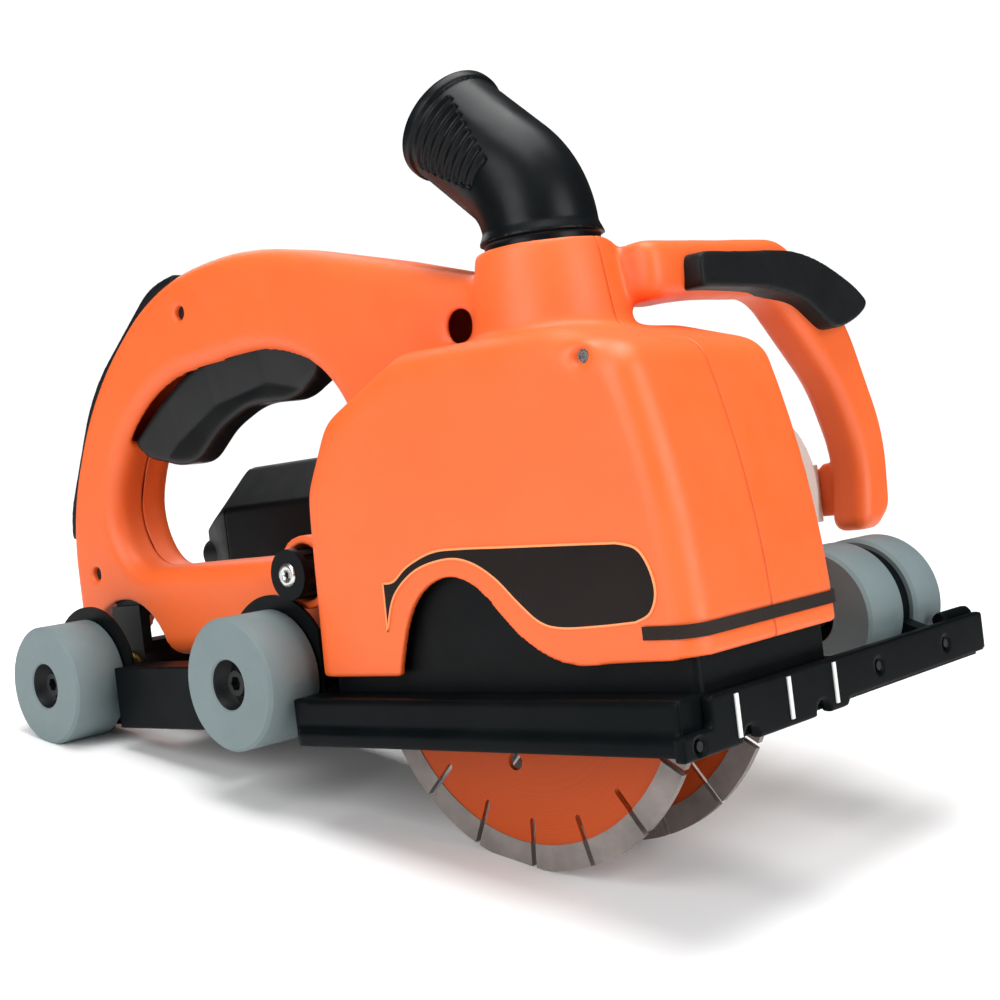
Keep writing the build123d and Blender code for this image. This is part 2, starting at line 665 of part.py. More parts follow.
with BuildPart() as sole_frame:
    add(block(RAIL_X, RAIL_Y, RAIL_Z))
    chamfer(sole_frame.edges().filter_by(Axis.X).group_by(Axis.Z)[-1].sort_by(Axis.Y)[0], 1.2)
    add(block((RAIL_X[0], RAIL_X[1]), (-54.5, RAIL_Y[0]), (2, 7.4)))
    add(block(RAIL_X, (38.8, 46), (RAIL_Z[0], 17)))
    for beam in (BEAM_NEAR_Y, BEAM_FAR_Y):
        add(block((-268, -94), beam, (4, BEAM_TOP)))
        add(block((-94, RAIL_X[0]), beam, RAIL_Z))
    add(block((-220, -152), (-44, BEAM_NEAR_Y[0]), (4.5, BEAM_TOP)))
    add(block((RAIL_X[0] - 3, -82.2), (RAIL_Y[0], 46), RAIL_Z))
    add(block((85.4, 88), (RAIL_Y[0], PLATE_Y[1]), (RAIL_Z[0], 17.5)))
    add(block((-205, -180), (-27, 27), (4, 12)))
    add(block((-180, RAIL_X[0]), (-27, 27), (4, 7)))
    add(block((-268, -262), (-27, 27), (4, 12)))
    add(slab([(82, 4), (88, 4), (88, 21), (82, 21)], 1.5, 120, PLATE_Y[1]))
    with BuildSketch(side_plane(50)):
        with BuildLine():
            Polyline((-26, 60), (-17.6, SPINDLE_Z), (-12.5, 14.5), (-6, 10.6), (6, 10.6), (12.5, 14.5),
                     (17.6, SPINDLE_Z), (17.6, 60), close=True)
        make_face()
    extrude(amount=12, mode=Mode.SUBTRACT)
    for x, y_pair in ((REAR_X, (-40, 40)), (MID_X, (-40, -20))):
        add(rod_y(x, AXLE_Z, *y_pair, AXLE_R), mode=Mode.SUBTRACT)
    add(block((-121, -93), (18, 26), (4, 16)))
    add(block((-119, -95), (20.5, 23.5), (8.2, 20)), mode=Mode.SUBTRACT)
    for y, z in PLATE_SCREWS:
        add(rod_x(y, z, 80, 90, 1.6), mode=Mode.SUBTRACT)
finish(sole_frame.part, "sole_frame")

with BuildPart() as front_plate:
    with BuildSketch(front_plane(PLATE_X[0])):
        with BuildLine():
            Polyline((-57, 1), (36, 1), (40, 4), (141, 4), (141, 18.7), (-41, 18.7), (-41, 9), (-57, 9),
                     close=True)
        make_face()
        for blade_y in (-BLADE_PITCH / 2, BLADE_PITCH / 2):
            with Locations((blade_y, 1.5)):
                Circle(4.6, mode=Mode.SUBTRACT)
    extrude(amount=PLATE_X[1] - PLATE_X[0])
    long_edges = front_plate.edges().filter_by(Axis.X)
    fillet(long_edges.filter_by(lambda e: e.center().Y > 140 or e.center().Z > 18), 1.2)
    with Locations(Plane(origin=(PLATE_X[1], 0, 0), x_dir=(0, 1, 0), z_dir=(1, 0, 0))):
        with Locations(*PLATE_SCREWS):
            CounterSinkHole(1.6, 3.2, counter_sink_angle=90)
finish(front_plate.part, "front_plate")

with BuildPart() as index_marks:
    for y in (-28, 2, 30):
        add(block((92, 92.5), (y - 0.9, y + 0.9), (3.5 if y else 5, 17.2)))
finish(index_marks.part, "index_marks")

with BuildPart() as plate_screws:
    for y, z in PLATE_SCREWS:
        add(rod_x(y, z, 85.6, 91.8, 1.6))
finish(plate_screws.part, "plate_screws")

with BuildPart() as mudguards:
    for x, front_x in ((REAR_X, -220.5), (MID_X, -93)):
        with BuildSketch(side_plane(-33)):
            with Locations((x, AXLE_Z)):
                Circle(31.5)
                Circle(AXLE_R + 1, mode=Mode.SUBTRACT)
            with BuildLine():
                Polyline((x - 60, -20), (x + 60, -20), (x + 60, 6), (x - 60, 6), close=True)
            make_face(mode=Mode.SUBTRACT)
            with BuildLine():
                Polyline((front_x, -20), (x + 60, -20), (x + 60, 90), (front_x, 90), close=True)
            make_face(mode=Mode.SUBTRACT)
        extrude(amount=1.5)
finish(mudguards.part, "mudguards")

with BuildPart() as wheel_bracket:
    with BuildSketch(side_plane(112.3)):
        with Locations((FRONT_X, AXLE_Z)):
            Circle(23.5)
        with BuildLine():
            Polyline((FRONT_X, 4), (85.4, 4), (85.4, 17), (FRONT_X, 30), close=True)
        make_face()
        with Locations((FRONT_X, AXLE_Z)):
            Circle(AXLE_R, mode=Mode.SUBTRACT)
    extrude(amount=7.6)
finish(wheel_bracket.part, "wheel_bracket")

# Dust skirt: an open box round the blades that stays inside the guard while the machine plunges. Its front
# wall is an arc about the rear axle, so the guard's front slides past it with an even gap.


def skirt_front(inset, z_values):
    """Points up the skirt's arched front, shrunk by inset."""
    radius = SKIRT_FRONT_R - inset
    return [(pivot_arc_x(radius, z), z) for z in z_values]


with BuildPart() as dust_skirt:
    with BuildSketch(side_plane(SKIRT_Y[1])):
        with BuildLine():
            low, middle, high = skirt_front(0, (2, 55, 106))
            Polyline(low, (-82, 2), (-82, 60), (-60, 104), high)
            ThreePointArc(high, middle, low)
        make_face()
    extrude(amount=SKIRT_Y[1] - SKIRT_Y[0])
    front_corners = dust_skirt.edges().filter_by(GeomType.CIRCLE).filter_by(lambda e: e.center().X > 60)
    fillet(front_corners.filter_by(lambda e: abs(e.center().Y - 1) > 37), 3)
    with BuildSketch(side_plane(SKIRT_Y[1] - SKIRT_T)):
        with BuildLine():
            low, middle, high = skirt_front(SKIRT_T, (-1, 55, 120))
            rear_x = -82 + SKIRT_T
            Polyline(low, (rear_x, -1), (rear_x, SKIRT_REAR_TOP), (-95, SKIRT_REAR_TOP), (-95, 130),
                     (high[0], 130), high)
            ThreePointArc(high, middle, low)
        make_face()
    extrude(amount=SKIRT_Y[1] - SKIRT_Y[0] - 2 * SKIRT_T, mode=Mode.SUBTRACT)
    with BuildSketch(side_plane(SKIRT_Y[1] + 1)):
        with BuildLine():
            Polyline((-26, 130), (-21, 80), (-13, 28.7), (-9.5, 19), (0, 15.5), (9.5, 19), (13, 28.7), (13, 130),
                     close=True)
        make_face()
    extrude(amount=6, mode=Mode.SUBTRACT)
finish(dust_skirt.part, "dust_skirt")

# Depth plate: a banana-shaped steel plate with an arc slot about the rear axle.


def arc_band(half_width, angle_low, span):
    """Closed outline of a band that follows the knob's arc about the rear axle, with square ends."""
    centre = (REAR_X, AXLE_Z)
    inner = CenterArc(centre, KNOB_DISTANCE - half_width, angle_low, span)
    outer = CenterArc(centre, KNOB_DISTANCE + half_width, angle_low, span)
    return [inner, outer, Line(inner @ 0, outer @ 0), Line(inner @ 1, outer @ 1)]


with BuildPart() as depth_plate:
    with BuildSketch(side_plane(23.5)):
        with BuildLine():
            add(arc_band(6.5, KNOB_ANGLE - 3, PLUNGE + 6))
        make_face()
        with BuildLine():
            Polyline((-119, 8.2), (-95, 8.2), (-95, 58), (-109, 62), close=True)
        make_face()
        with BuildLine():
            add(arc_band(STEM_R + 0.5, KNOB_ANGLE - 1.9, PLUNGE + 3.8))
        make_face(mode=Mode.SUBTRACT)
    extrude(amount=3)
finish(depth_plate.part, "depth_plate")


# ---- orange body shells: guard, neck and rear handle moulded together, split at the seam ----


def guard_solid(inset):
    """The guard as a solid block down to z = 0, shrunk by inset on every side."""
    front_r = GUARD_FRONT_R - inset
    rear_foot = (-91 + inset, 0)
    rear_head = (-87 + inset, 96)
    shoulder = (-72 + inset * 0.8, 122 - inset * 0.6)
    rear_roof = (-30, 141 - inset)
    front_roof = (42, 139 - inset)
    brow_z = 129 - inset
    brow = (pivot_arc_x(front_r, brow_z), brow_z)
    middle = (pivot_arc_x(front_r, 80), 80)
    front_foot = (pivot_arc_x(front_r, 0), 0)
    y_low = GUARD_Y[0] + inset
    y_high = GUARD_Y[1] - inset
    with BuildPart() as body:
        with BuildSketch(side_plane(y_high)) as profile:
            with BuildLine():
                Polyline(front_foot, rear_foot, rear_head, shoulder, rear_roof, front_roof, brow)
                ThreePointArc(brow, middle, front_foot)
            make_face()
            fillet(profile.vertices().filter_by(lambda v: v.Y > 90), 14)
        extrude(amount=y_high - y_low)
        for face_y in (y_low, y_high):
            rim = body.edges().filter_by(lambda e: abs(e.center().Y - face_y) < 0.01)
            rim = rim.filter_by(lambda e: e.center().Z > 5 and e.bounding_box().size.Y < 0.01)
            fillet(rim, GUARD_CORNER_R - inset)
    return body.part


def handle_solid(inset):
    """The D handle as a solid: its outline less the finger opening, shrunk by inset, with rounded edges."""
    y_low = HANDLE_Y[0] + inset
    y_high = HANDLE_Y[1] - inset
    with BuildPart() as loop:
        with BuildSketch(side_plane(y_high)):
            with BuildLine():
                FilletPolyline(*HANDLE_OUTER, radius=HANDLE_OUTER_R, close=True)
            make_face()
            with BuildLine():
                FilletPolyline(*HANDLE_INNER, radius=HANDLE_INNER_R, close=True)
            make_face(mode=Mode.SUBTRACT)
            if inset > 0:
                offset(amount=-inset, kind=Kind.INTERSECTION)
        extrude(amount=y_high - y_low)
        for face_y in (y_low, y_high):
            rim = loop.edges().filter_by(lambda e: abs(e.center().Y - face_y) < 0.01)
            rim = rim.filter_by(lambda e: e.bounding_box().size.Y < 0.01)
            fillet(rim, HANDLE_EDGE_R - inset)
        with BuildSketch(side_plane(y_high + 1)):
            with Locations((REAR_X, AXLE_Z)):
                Circle(PIVOT_CLEAR_R + inset)
        extrude(amount=y_high - y_low + 2, mode=Mode.SUBTRACT)
    return loop.part


def neck_solid(inset):
    """The flared neck over the guard, from below the roof to the rim."""
    with BuildPart() as neck:
        with BuildSketch(Plane.XY.offset(118)):
            with Locations((NECK_X, SEAM_Y)):
                Circle(32.5 - inset)
        with BuildSketch(Plane.XY.offset(150)):
            with Locations((NECK_X, SEAM_Y)):
                Circle(27.4 - inset)
        loft()
        with BuildSketch(Plane.XY.offset(150)):
            with Locations((NECK_X, SEAM_Y)):
                Circle(27.4 - inset)
        with BuildSketch(Plane.XY.offset(NECK_TOP_Z)):
            with Locations((NECK_X, SEAM_Y)):
                Circle(NECK_TOP_R + 0.4 - inset)
        loft()
    return neck.part


def vent_band(outer, inner, z_pair):
    """A band that follows the guard's plan outline round its front, between two offsets from the wall."""
    with BuildPart() as band:
        with BuildSketch(Plane.XY.offset(z_pair[0])):
            for grow, mode in ((outer, Mode.ADD), (inner, Mode.SUBTRACT)):
                x_high = pivot_arc_x(GUARD_FRONT_R, 38) + grow
                with Locations(((x_high - 60) / 2, (GUARD_Y[0] + GUARD_Y[1]) / 2)):
                    width = GUARD_Y[1] - GUARD_Y[0] + 2 * grow
                    RectangleRounded(x_high + 60, width, 9 + grow, mode=mode)
            with Locations((-20, 0)):
                Rectangle(180, 120, mode=Mode.SUBTRACT)
        extrude(amount=z_pair[1] - z_pair[0])
    return band.part


def trigger_slot(angle):
    """The room the trigger needs when pulled by an angle, a millimetre larger all round."""
    with BuildPart() as slot:
        with BuildSketch(side_plane(TRIGGER_Y[1] + 0.8)):
            with BuildLine():
                FilletPolyline(*TRIGGER_POINTS, radius=TRIGGER_R, close=True)
            make_face()
            offset(amount=1.0)
        extrude(amount=TRIGGER_Y[1] - TRIGGER_Y[0] + 1.6)
    return slot.part.rotate(Axis((TRIGGER_PIVOT[0], 0, TRIGGER_PIVOT[1]), (0, 1, 0)), angle)


with BuildPart() as body_shell:
    add(guard_solid(0))
    with BuildSketch(side_plane(60)):
        with BuildLine():
            Polyline((-120, -10), (120, -10), (120, 30.5), (90, 30), (46, 28.4), (0, 25.5), (-120, 25.5),
                     close=True)
        make_face()
    extrude(amount=120, mode=Mode.SUBTRACT)
    add(handle_solid(0))
    add(neck_solid(0))
    add(rod_y(KNOB[0], KNOB[1], -30, -13, KNOB_WELL_R))
    add(handle_solid(HANDLE_WALL), mode=Mode.SUBTRACT)
    add(guard_solid(WALL), mode=Mode.SUBTRACT)
    add(neck_solid(2.6), mode=Mode.SUBTRACT)
    for x, z in SHELL_SCREWS:
        span = (-41, 45) if x > -100 and z < 145 else (HANDLE_Y[0] + 1, HANDLE_Y[1] - 1)
        add(rod_y(x, z, *span, SCREW_BOSS_R))
    with BuildSketch(side_plane(GUARD_Y[0] + WALL + 0.5)):
        with BuildLine():
            Spline(*ARCH_POINTS)
            Polyline(ARCH_POINTS[-1], (46, 5), (-42, 5), ARCH_POINTS[0])
        make_face()
    extrude(amount=8, mode=Mode.SUBTRACT)
    add(rod_y(0, SPINDLE_Z, 42, 48, 16.3), mode=Mode.SUBTRACT)
    with BuildSketch(Plane.XY.offset(NECK_TOP_Z - 16)):
        with Locations((NECK_X, SEAM_Y)):
            Circle(NECK_BORE_R)
    extrude(amount=20, mode=Mode.SUBTRACT)
    for angle in (0, TRIGGER_PULL / 2, TRIGGER_PULL):
        add(trigger_slot(angle), mode=Mode.SUBTRACT)
    add(rod_y(KNOB[0], KNOB[1], -32, -19, 11.2), mode=Mode.SUBTRACT)
    add(rod_y(KNOB[0], KNOB[1], -20, 22, STEM_R + 0.4), mode=Mode.SUBTRACT)
    add(vent_band(2, -1.1, VENT_Z), mode=Mode.SUBTRACT)
    add(block(HANGER_X, HANGER_Y, (50, HANGER_TOP_Z)), mode=Mode.SUBTRACT)
    for x, z in SHELL_SCREWS:
        big = (x, z) == BIG_HOLE
        add(rod_y(x, z, -50, -10 if z > 130 or x < -100 else -36, 5.8 if big else 3.3), mode=Mode.SUBTRACT)
        add(rod_y(x, z, -50, 10 if z > 130 or x < -100 else 36, 1.8), mode=Mode.SUBTRACT)
    split_plane = Plane(origin=(0, SEAM_Y, 0), x_dir=(1, 0, 0), z_dir=(0, -1, 0))

for name, keep in (("body_shell_near", Keep.TOP), ("body_shell_far", Keep.BOTTOM)):
    with BuildPart() as half:
        add(body_shell.part)
        split(bisect_by=split_plane, keep=keep)
    pieces = sorted(half.part.solids(), key=lambda solid: -solid.volume)
    finish(Part(pieces[0].wrapped), name)

with BuildPart() as shell_screws:
    for x, z in SHELL_SCREWS:
        deep = -10 if z > 130 or x < -100 else -36
        add(rod_y(x, z, deep - 2.4, deep, 3.2))
        add(rod_y(x, z, deep, deep + 18, 1.75))
finish(shell_screws.part, "shell_screws")

finish(vent_band(0.3, -1.0, (VENT_Z[0] + 0.1, VENT_Z[1] - 0.1)), "vent_strip")


# ---- trims on the body ----
def decal_outline():
    """Outline of the dark panel that follows the arch of the guard."""
    return [
        (-45.5, 59), (-45, 41), (-39.5, 55), (-27, 63.5), (-11.5, 66.4), (0, 64.6), (10, 59.5), (20, 49.5),
        (29, 42.4), (38, 40.8), (70, 42), (75.5, 46), (77, 52), (74, 63), (66.5, 67.3), (16, 68.8),
        (-17, 69.6), (-30, 65.5), (-40, 58.5), (-42, 59.2),
    ]


with BuildPart() as decal_panel:
    with BuildSketch(side_plane(GUARD_Y[0])):
        with BuildLine():
            Polyline(*decal_outline(), close=True)
        make_face()
    extrude(amount=0.5)
finish(decal_panel.part, "decal_panel")

with BuildPart() as rear_grip:
    with BuildSketch(side_plane(HANDLE_Y[1] - 3.5)) as grip_sketch:
        with BuildLine():
            Polyline(*GRIP_OUTLINE, close=True)
        make_face()
        fillet(grip_sketch.vertices().filter_by(lambda v: v.Y > 195 and v.X < -200), GRIP_HEAD_R)
        fillet(grip_sketch.vertices().filter_by(lambda v: abs(v.X + 263.5) < 2 and v.Y > 155), GRIP_BEND_R)
        fillet(grip_sketch.vertices().filter_by(lambda v: v.X < -294 and v.Y > 100), GRIP_TAIL_R)
    extrude(amount=HANDLE_Y[1] - HANDLE_Y[0] - 7)
    add(handle_solid(0), mode=Mode.SUBTRACT)
grip_bits = sorted(rear_grip.part.solids(), key=lambda solid: -solid.volume)
finish(Part(grip_bits[0].wrapped), "rear_grip")


# ---- trigger and switch ----
with BuildPart() as trigger:
    with BuildSketch(side_plane(TRIGGER_Y[1])):
        with BuildLine():
            FilletPolyline(*TRIGGER_POINTS, radius=TRIGGER_R, close=True)
        make_face()
    extrude(amount=TRIGGER_Y[1] - TRIGGER_Y[0])
    lower = trigger.edges().filter_by(lambda e: e.bounding_box().size.Y < 0.01)
    lower = lower.filter_by(lambda e: e.center().Z < 122.5 + (e.center().X + 238) * 0.26)
    fillet(lower, 2)
finish(trigger.part, "trigger")

finish(block((-172, -128), (-7, 11), (173, 189)), "switch_body")


# ---- dust elbow ----
elbow_plane = side_plane(SEAM_Y)


def elbow_path(z_low, tail):
    """Centreline of the elbow: up out of the neck, round the bend, then straight towards the mouth."""
    with BuildLine(elbow_plane) as path:
        rise = Line((NECK_X, z_low), (NECK_X, BEND_Z))
        bend = JernArc(rise @ 1, rise % 1, BEND_R, BEND_DEG)
        Line(bend @ 1, bend @ 1 + (bend % 1) * tail)
    return path.line


def elbow_tube(radius, z_low, tail):
    path = elbow_path(z_low, tail)
    with BuildPart() as tube:
        with BuildSketch(Plane.XY.offset(z_low)):
            with Locations((NECK_X, SEAM_Y)):
                Circle(radius)
        sweep(path=path)
    return tube.part


mouth = elbow_path(160, LEG)
mouth_end = mouth @ 1
mouth_axis = mouth % 1
mouth_plane = Plane(origin=mouth_end, x_dir=(0, 1, 0), z_dir=mouth_axis)
with BuildPart() as dust_elbow:
    add(elbow_tube(ELBOW_R, 158, LEG))
    with Locations((NECK_X, SEAM_Y, 174.2)):
        Cone(22.6, ELBOW_R - 0.4, 5, align=(Align.CENTER, Align.CENTER, Align.MIN))
    with BuildSketch(mouth_plane.offset(0.5)):
        Circle(23)
    extrude(amount=-4.5)
    fillet(dust_elbow.edges().filter_by(GeomType.CIRCLE).filter_by(lambda e: e.radius > 22.9), 1.5)
    add(elbow_tube(ELBOW_BORE_R, 157, LEG + 2), mode=Mode.SUBTRACT)
finish(dust_elbow.part, "dust_elbow")


# ---- front loop handle ----


def front_loop(inset):
    """The C-shaped loop of the front handle as a solid, with rounded edges."""
    x_low = FRONT_HANDLE_X[0] + inset
    x_high = FRONT_HANDLE_X[1] - inset
    with BuildPart() as loop:
        with BuildSketch(front_plane(x_low)):
            with BuildLine():
                FilletPolyline(*FH_OUTER, *FH_INNER, radius=FH_OUTER_R + FH_INNER_R, close=True)
            make_face()
            if inset > 0:
                offset(amount=-inset, kind=Kind.INTERSECTION)
        extrude(amount=x_high - x_low)
        for face_x in (x_low, x_high):
            rim = loop.edges().filter_by(lambda e: abs(e.center().X - face_x) < 0.01)
            rim = rim.filter_by(lambda e: e.bounding_box().size.X < 0.01 and e.center().Y > 30)
            fillet(rim, 6 - inset)
    return loop.part


with BuildPart() as front_handle:
    add(front_loop(0))
    add(block((19, 36), (20, 46), (148, 167)))
    add(block((27, 38), (144.6, 155), (60, 82)))
    add(block((2, 30), (144.6, 151), (60, 80)))
    add(front_loop(3), mode=Mode.SUBTRACT)
    add(neck_solid(-0.3), mode=Mode.SUBTRACT)
split_x = Plane(origin=(FH_SPLIT_X, 0, 0), x_dir=(0, 1, 0), z_dir=(1, 0, 0))
for name, keep in (("front_handle_front", Keep.TOP), ("front_handle_back", Keep.BOTTOM)):
    with BuildPart() as half:
        add(front_handle.part)
        split(bisect_by=split_x, keep=keep)
    pieces = sorted(half.part.solids(), key=lambda solid: -solid.volume)
    finish(Part(pieces[0].wrapped), name)

with BuildPart() as front_grip:
    with BuildSketch(front_plane(FRONT_HANDLE_X[1])):
        with BuildLine():
            FilletPolyline(
                (42, 150.5), (42, 168), (104, 169.5), (133, 163), (157, 147), (151, 135), (128, 136),
                (112, 149), (92, 152.5),
                radius=[3, 3, 30, 30, 6, 6, 5, 22, 22],
                close=True,
            )
        make_face()
    extrude(amount=8)
    fillet(front_grip.faces().sort_by(Axis.X)[-1].edges(), 3.5)
finish(front_grip.part, "front_grip")


# ---- depth clamp ----
with BuildPart() as depth_knob:
    add(rod_y(KNOB[0], KNOB[1], -38, -20, 10))
    with BuildSketch(side_plane(-20)):
        with Locations(KNOB):
            with PolarLocations(10.6, 10):
                Circle(1.9)
    extrude(amount=15, mode=Mode.SUBTRACT)
    add(rod_y(KNOB[0], KNOB[1], -21, 28, STEM_R))
finish(depth_knob.part, "depth_knob")
with BuildPart() as clamp_plate:
    with BuildSketch(side_plane(27.5)):
        with Locations(KNOB):
            RegularPolygon(7, 6)
            Circle(STEM_R + 0.05, mode=Mode.SUBTRACT)
    extrude(amount=3.6)
finish(clamp_plate.part, "clamp_plate")


# ---- plunge pivot ----
with BuildPart() as pivot_hanger:
    with BuildSketch(side_plane(18)):
        with Locations((REAR_X, AXLE_Z)):
            Circle(13)
        with BuildLine():
            Polyline((-262, 30), (-240, 30), (-240, 55), (-262, 55), close=True)
        make_face()
        with Locations((REAR_X, AXLE_Z)):
            Circle(BUSH_R, mode=Mode.SUBTRACT)
    extrude(amount=32)
    add(block((-275, -225), (-9, 13), (38, 80)), mode=Mode.SUBTRACT)
    add(block(HANGER_X, HANGER_Y, (50, HANGER_TOP_Z)))
finish(pivot_hanger.part, "pivot_hanger")
with BuildPart() as pivot_bushes:
    for y_low, y_high in ((-15, -5), (9, 19)):
        add(rod_y(REAR_X, AXLE_Z, y_low, y_high, BUSH_R, AXLE_R + 0.05))
finish(pivot_bushes.part, "pivot_bushes")
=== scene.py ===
import math

import bmesh
import bpy
from mathutils import Matrix, Vector


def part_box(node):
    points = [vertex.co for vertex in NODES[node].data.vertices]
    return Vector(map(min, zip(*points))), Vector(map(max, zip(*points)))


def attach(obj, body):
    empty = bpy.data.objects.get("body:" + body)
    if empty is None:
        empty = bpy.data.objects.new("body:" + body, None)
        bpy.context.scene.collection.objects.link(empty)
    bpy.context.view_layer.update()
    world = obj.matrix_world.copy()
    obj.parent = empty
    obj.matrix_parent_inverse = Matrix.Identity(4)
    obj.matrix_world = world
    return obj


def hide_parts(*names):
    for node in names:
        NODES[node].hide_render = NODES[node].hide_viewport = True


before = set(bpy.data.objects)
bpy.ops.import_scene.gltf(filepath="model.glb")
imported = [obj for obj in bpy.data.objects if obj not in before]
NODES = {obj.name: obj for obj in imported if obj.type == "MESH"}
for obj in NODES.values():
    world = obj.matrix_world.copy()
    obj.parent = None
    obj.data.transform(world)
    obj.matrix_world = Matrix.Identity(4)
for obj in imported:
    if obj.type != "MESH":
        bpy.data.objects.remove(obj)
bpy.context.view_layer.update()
MM = 0.001  # lengths are in metres unless a comment says mm


def link_object(name, data):
    """A new scene object around a mesh, a lamp or a camera."""
    made = bpy.data.objects.new(name, data)
    bpy.context.scene.collection.objects.link(made)
    return made


def clamp(value):
    """The value held between 0 and 1."""
    return max(0.0, min(1.0, value))


# ---------------------------------------------------------------- camera, floor and light
AZIMUTH = math.radians(42.741)
ELEVATION = math.radians(0.557)
ROLL = math.radians(-7.001)
TARGET = Vector((-0.0218, 0.0, 0.0841))
DISTANCE = 0.58103
LENS_MM = 56.64
SENSOR_MM = 36.0

level = math.cos(ELEVATION)
back = Vector((math.sin(AZIMUTH) * level, -math.cos(AZIMUTH) * level, math.sin(ELEVATION)))
level_x = Vector((0, 0, 1)).cross(back).normalized()
level_y = back.cross(level_x)
cam_x = math.cos(ROLL) * level_x + math.sin(ROLL) * level_y
cam_y = -math.sin(ROLL) * level_x + math.cos(ROLL) * level_y


def facing(origin, x_axis, y_axis, z_axis):
    """A matrix whose columns are the three axes, at the origin given."""
    rows = [[x_axis[i], y_axis[i], z_axis[i], origin[i]] for i in range(3)]
    return Matrix(rows + [[0, 0, 0, 1]])


camera_data = bpy.data.cameras.new("camera")
camera_data.lens = LENS_MM
camera_data.sensor_width = SENSOR_MM
camera_data.clip_start = 0.01
camera_data.clip_end = 20.0
camera = link_object("camera", camera_data)
camera.matrix_world = facing(TARGET + back * DISTANCE, cam_x, cam_y, back)
bpy.context.scene.camera = camera

# The floor is level in the picture, where the machine stands rolled, and it touches the
# blades' lowest point.
FLOOR_SLOPE = math.radians(9)
floor_up = (cam_y * math.cos(FLOOR_SLOPE) + back * math.sin(FLOOR_SLOPE)).normalized()
floor_side = cam_x
floor_deep = floor_up.cross(floor_side)
FLOOR_POINT = Vector((0.002, -0.021, -0.047))


def area_light(name, place, size, power):
    """A soft box that points at the target."""
    data = bpy.data.lights.new(name, "AREA")
    data.shape = "RECTANGLE"
    data.size, data.size_y = size
    data.energy = power
    lamp = link_object(name, data)
    lamp.location = place
    lamp.rotation_euler = (TARGET - place).to_track_quat("-Z", "Y").to_euler()


def view_point(right, up, toward):
    """A place given in the picture's own directions from the target, in metres."""
    return TARGET + cam_x * right + cam_y * up + back * toward


area_light("left", view_point(-0.85, 0.40, 0.80), (0.7, 0.9), 9.5)
area_light("right", view_point(0.85, 0.35, 0.75), (0.6, 0.9), 8.5)
area_light("top", view_point(0.0, 1.25, 0.10), (1.2, 0.8), 19.0)
area_light("rim", view_point(-0.4, 0.65, -0.90), (0.6, 0.6), 2.5)

# The backdrop is white to the camera, a soft grey light to the surfaces, and dark in their reflections.
SKY_SEEN = 1.05
SKY_SOFT = 0.3
SKY_GLOSS = 0.05
world = bpy.data.worlds.new("studio")
bpy.context.scene.world = world
world.use_nodes = True
sky_tree = world.node_tree
sky = sky_tree.nodes["Background"]
sky.inputs["Color"].default_value = (1, 1, 1, 1)
ray = sky_tree.nodes.new("ShaderNodeLightPath")
sky_level = None  # the second choice takes the first one's result where it has no low value
for flag, high, low in (("Is Glossy Ray", SKY_GLOSS, SKY_SOFT), ("Is Camera Ray", SKY_SEEN, None)):
    choose = sky_tree.nodes.new("ShaderNodeMapRange")
    sky_tree.links.new(ray.outputs[flag], choose.inputs["Value"])
    choose.inputs["To Max"].default_value = high
    if low is None:
        sky_tree.links.new(sky_level, choose.inputs["To Min"])
    else:
        choose.inputs["To Min"].default_value = low
    sky_level = choose.outputs["Result"]
sky_tree.links.new(sky_level, sky.inputs["Strength"])
bpy.context.scene.view_settings.view_transform = "Standard"


# ---------------------------------------------------------------- materials
def linear(rgb):
    """0-255 display colour to linear RGBA."""
    out = []
    for value in rgb:
        share = value / 255
        out.append(share / 12.92 if share <= 0.04045 else ((share + 0.055) / 1.055) ** 2.4)
    return (*out, 1.0)


